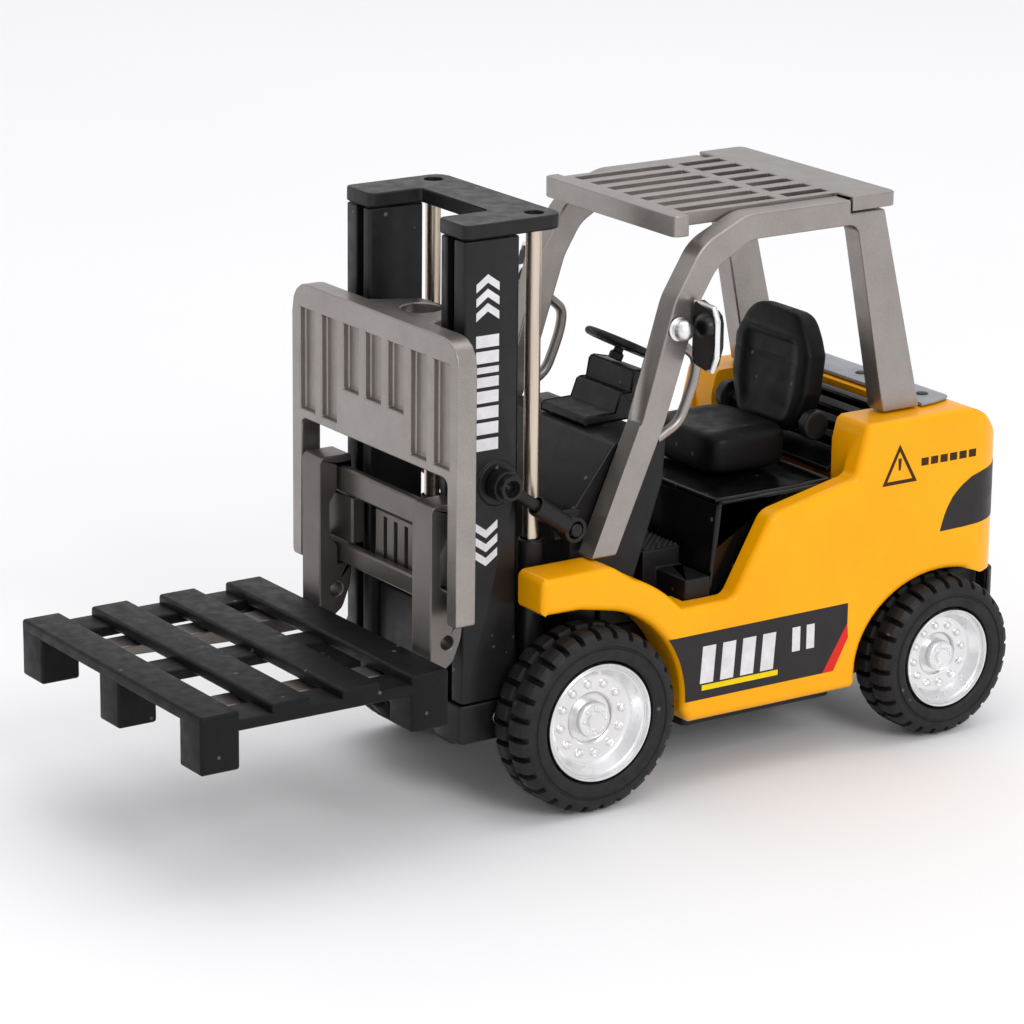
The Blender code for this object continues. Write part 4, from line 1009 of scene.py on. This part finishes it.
def triangle_frame(apex, left, right, width):
    """The three sides of a triangle's outline, each a thin four-cornered strip."""
    corners = np.array([apex, left, right], float)
    centre = corners.mean(axis=0)
    inner = centre + (corners - centre) * (1 - width)
    return [
        [tuple(corners[i]), tuple(corners[(i + 1) % 3]), tuple(inner[(i + 1) % 3]), tuple(inner[i])]
        for i in range(3)
    ]


def wrapped_mark(name, side, start, turn_y, end_angle, film=0.05):
    """A strip of ink: flat to turn_y, then round an upright arc; its z runs between two edge curves."""
    straight = np.arange(start, turn_y, 0.4)
    angle = np.radians(np.arange(0, end_angle, 3.0))
    travel = np.concatenate([straight, turn_y + CORNER_RADIUS * angle])
    bend = np.concatenate([0 * straight, angle])
    foot = np.interp(travel, *np.array(WEDGE_FOOT).T)
    top = np.maximum(np.interp(travel, *np.array(WEDGE_TOP).T), foot + 0.02)
    rise = np.linspace(0, 1, 9)
    layers = []
    for reach in (CORNER_RADIUS, CORNER_RADIUS + film):
        x = BODY_SIDE_X - CORNER_RADIUS + reach * np.cos(bend)
        y = np.minimum(travel, turn_y) + reach * np.sin(bend)
        z = foot[:, None] + (top - foot)[:, None] * (rise if reach == CORNER_RADIUS else rise[::-1])
        layers.append(np.stack([x[:, None] + 0 * z, y[:, None] + 0 * z, z], -1))
    sheet = capped(np.concatenate(layers, 1) * (side, 1, 1) + (0, AXLE_Y, 0))
    return surface_piece(name, [(sheet, False, True)], BLACK_INK, "truck", "black_satin", sharp=30)


TRIANGLE = triangle_frame((60.0, 51.2), (56.6, 44.5), (63.8, 44.5), 0.27)
TRIANGLE_BAR = [[(59.75, 48.8), (60.45, 48.8), (60.3, 46.8), (59.9, 46.8)]]
REAR_DASHES = [bar(y, y + 1.5, 46.9, 48.2) for y in (64.6, 66.6, 68.6, 70.6, 72.6, 74.6)]
REAR_MARKS = TRIANGLE + TRIANGLE_BAR + REAR_DASHES

for side_name, side in SIDES:
    mark(f"sill_band_{side_name}", [SILL_BAND], BODY_SIDE_X, side, BLACK_INK)
    mark(f"sill_slash_{side_name}", [SLASH], BODY_SIDE_X, side, RED_INK)
    mark(f"sill_bars_{side_name}", SILL_BARS + SMALL_BARS, BODY_SIDE_X + INK_FILM, side, WHITE_INK)
    mark(f"sill_lemon_bar_{side_name}", LEMON_BARS, BODY_SIDE_X + INK_FILM, side, LEMON_INK)
    wrapped_mark(f"rear_wedge_{side_name}", side, WEDGE_START, CORNER_START_Y, WEDGE_END_DEGREES)
    mark(f"rear_triangle_{side_name}", REAR_MARKS, BODY_SIDE_X, side, BROWN_INK)
print("body marks stand on x =", round(float(BODY_SIDE_X), 2), "mm")

# %% Marks on the mast
MAST_X = 17.2
CHEVRON_LOW, CHEVRON_HIGH = -17.5, -13.3


def chevron(z, rise, thickness):
    """A V of the given thickness between the two edges, with its point at half width."""
    middle = (CHEVRON_LOW + CHEVRON_HIGH) / 2
    return [
        (CHEVRON_LOW, z), (middle, z + rise), (CHEVRON_HIGH, z),
        (CHEVRON_HIGH, z + thickness), (middle, z + rise + thickness), (CHEVRON_LOW, z + thickness),
    ]


MAST_MARKS = [chevron(z, 1.45, 1.3) for z in (80.0, 82.25, 84.5)]
MAST_MARKS += [chevron(z, -1.45, -1.3) for z in (48.0, 45.75, 43.5)]
BAR_ROWS = [
    (59.4, 1.9), (62.0, 1.9), (64.5, 1.9), (67.0, 1.9), (69.5, 1.6), (71.7, 1.0), (73.3, 1.9), (75.8, 1.9)
]
MAST_MARKS += [bar(CHEVRON_LOW, CHEVRON_HIGH, z, z + tall) for z, tall in BAR_ROWS]
for side_name, side in SIDES:
    mark(f"mast_marks_{side_name}", MAST_MARKS, MAST_X, side, WHITE_INK, body="mast")
print(len(MAST_MARKS), "marks on each side of the mast")

# %% [markdown]
# ## Studio
# A pale, flat floor under two soft lights: a broad one overhead, and a key from the viewer's
# right. The camera has a long lens and stands off the front left corner.

# %% Floor, lights and camera
FLOOR_HALF, FLOOR_DROP = 6.0, 0.0002
floor_mesh = bpy.data.meshes.new("studio_floor")
corner_signs = ((-1, -1), (1, -1), (1, 1), (-1, 1))
floor_corners = [(FLOOR_HALF * across, FLOOR_HALF * along, 0) for across, along in corner_signs]
floor_mesh.from_pydata(floor_corners, [], [(0, 1, 2, 3)])
floor_mesh.materials.append(finish("matt_card", "F4F4F5", "F1F1F2", 400.0, (0.7, 0.8), 4.0, 0.01))
studio_floor = bpy.data.objects.new("studio_floor", floor_mesh)
studio_floor.location.z = -FLOOR_DROP
bpy.context.scene.collection.objects.link(studio_floor)

world = bpy.data.worlds.new("studio_air")
bpy.context.scene.world = world
world.use_nodes = True
air = world.node_tree.nodes["Background"]
air.inputs["Color"].default_value = linear("FAFAFC")
air.inputs["Strength"].default_value = 0.82
TRUCK_MIDDLE = Vector((0, 0, 0.04))


def softbox(name, at, size, watts):
    """A square lamp of the given size, in metres, that faces the truck."""
    lamp = bpy.data.lights.new(name, "AREA")
    lamp.size = size
    lamp.energy = watts
    holder = bpy.data.objects.new(name, lamp)
    holder.location = at
    holder.rotation_mode = "QUATERNION"
    holder.rotation_quaternion = (TRUCK_MIDDLE - Vector(at)).to_track_quat("-Z", "Y")
    bpy.context.scene.collection.objects.link(holder)


softbox("overhead_softbox", (-0.15, 0.3, 1.3), 1.4, 5.6)
softbox("key_softbox", (1.2, -0.1, 0.8), 0.5, 6.0)

CAMERA_TARGET = Vector((0.0, -0.00575, 0.04263))
CAMERA_TURN, CAMERA_RISE, CAMERA_ROLL = (math.radians(a) for a in (56.1, 16.44, 0.6))
CAMERA_REACH = 0.69155
camera = bpy.data.objects.new("camera", bpy.data.cameras.new("camera"))
camera.data.sensor_width = 36
camera.data.lens = 151.56387
camera.data.clip_start = 0.01
back = Vector(
    (
        math.sin(CAMERA_TURN) * math.cos(CAMERA_RISE),
        -math.cos(CAMERA_TURN) * math.cos(CAMERA_RISE),
        math.sin(CAMERA_RISE),
    )
)
across = Vector((0, 0, 1)).cross(back).normalized()
up = back.cross(across)
rolled_across = math.cos(CAMERA_ROLL) * across + math.sin(CAMERA_ROLL) * up
rolled_up = math.cos(CAMERA_ROLL) * up - math.sin(CAMERA_ROLL) * across
camera.matrix_world = Matrix.Translation(CAMERA_TARGET + back * CAMERA_REACH) @ (
    Matrix((rolled_across, rolled_up, back)).transposed().to_4x4()
)
bpy.context.scene.collection.objects.link(camera)
bpy.context.scene.camera = camera
bpy.context.scene.view_settings.view_transform = "Standard"
print("camera", round(CAMERA_REACH, 3), "m from the truck, lens", round(camera.data.lens, 1), "mm")
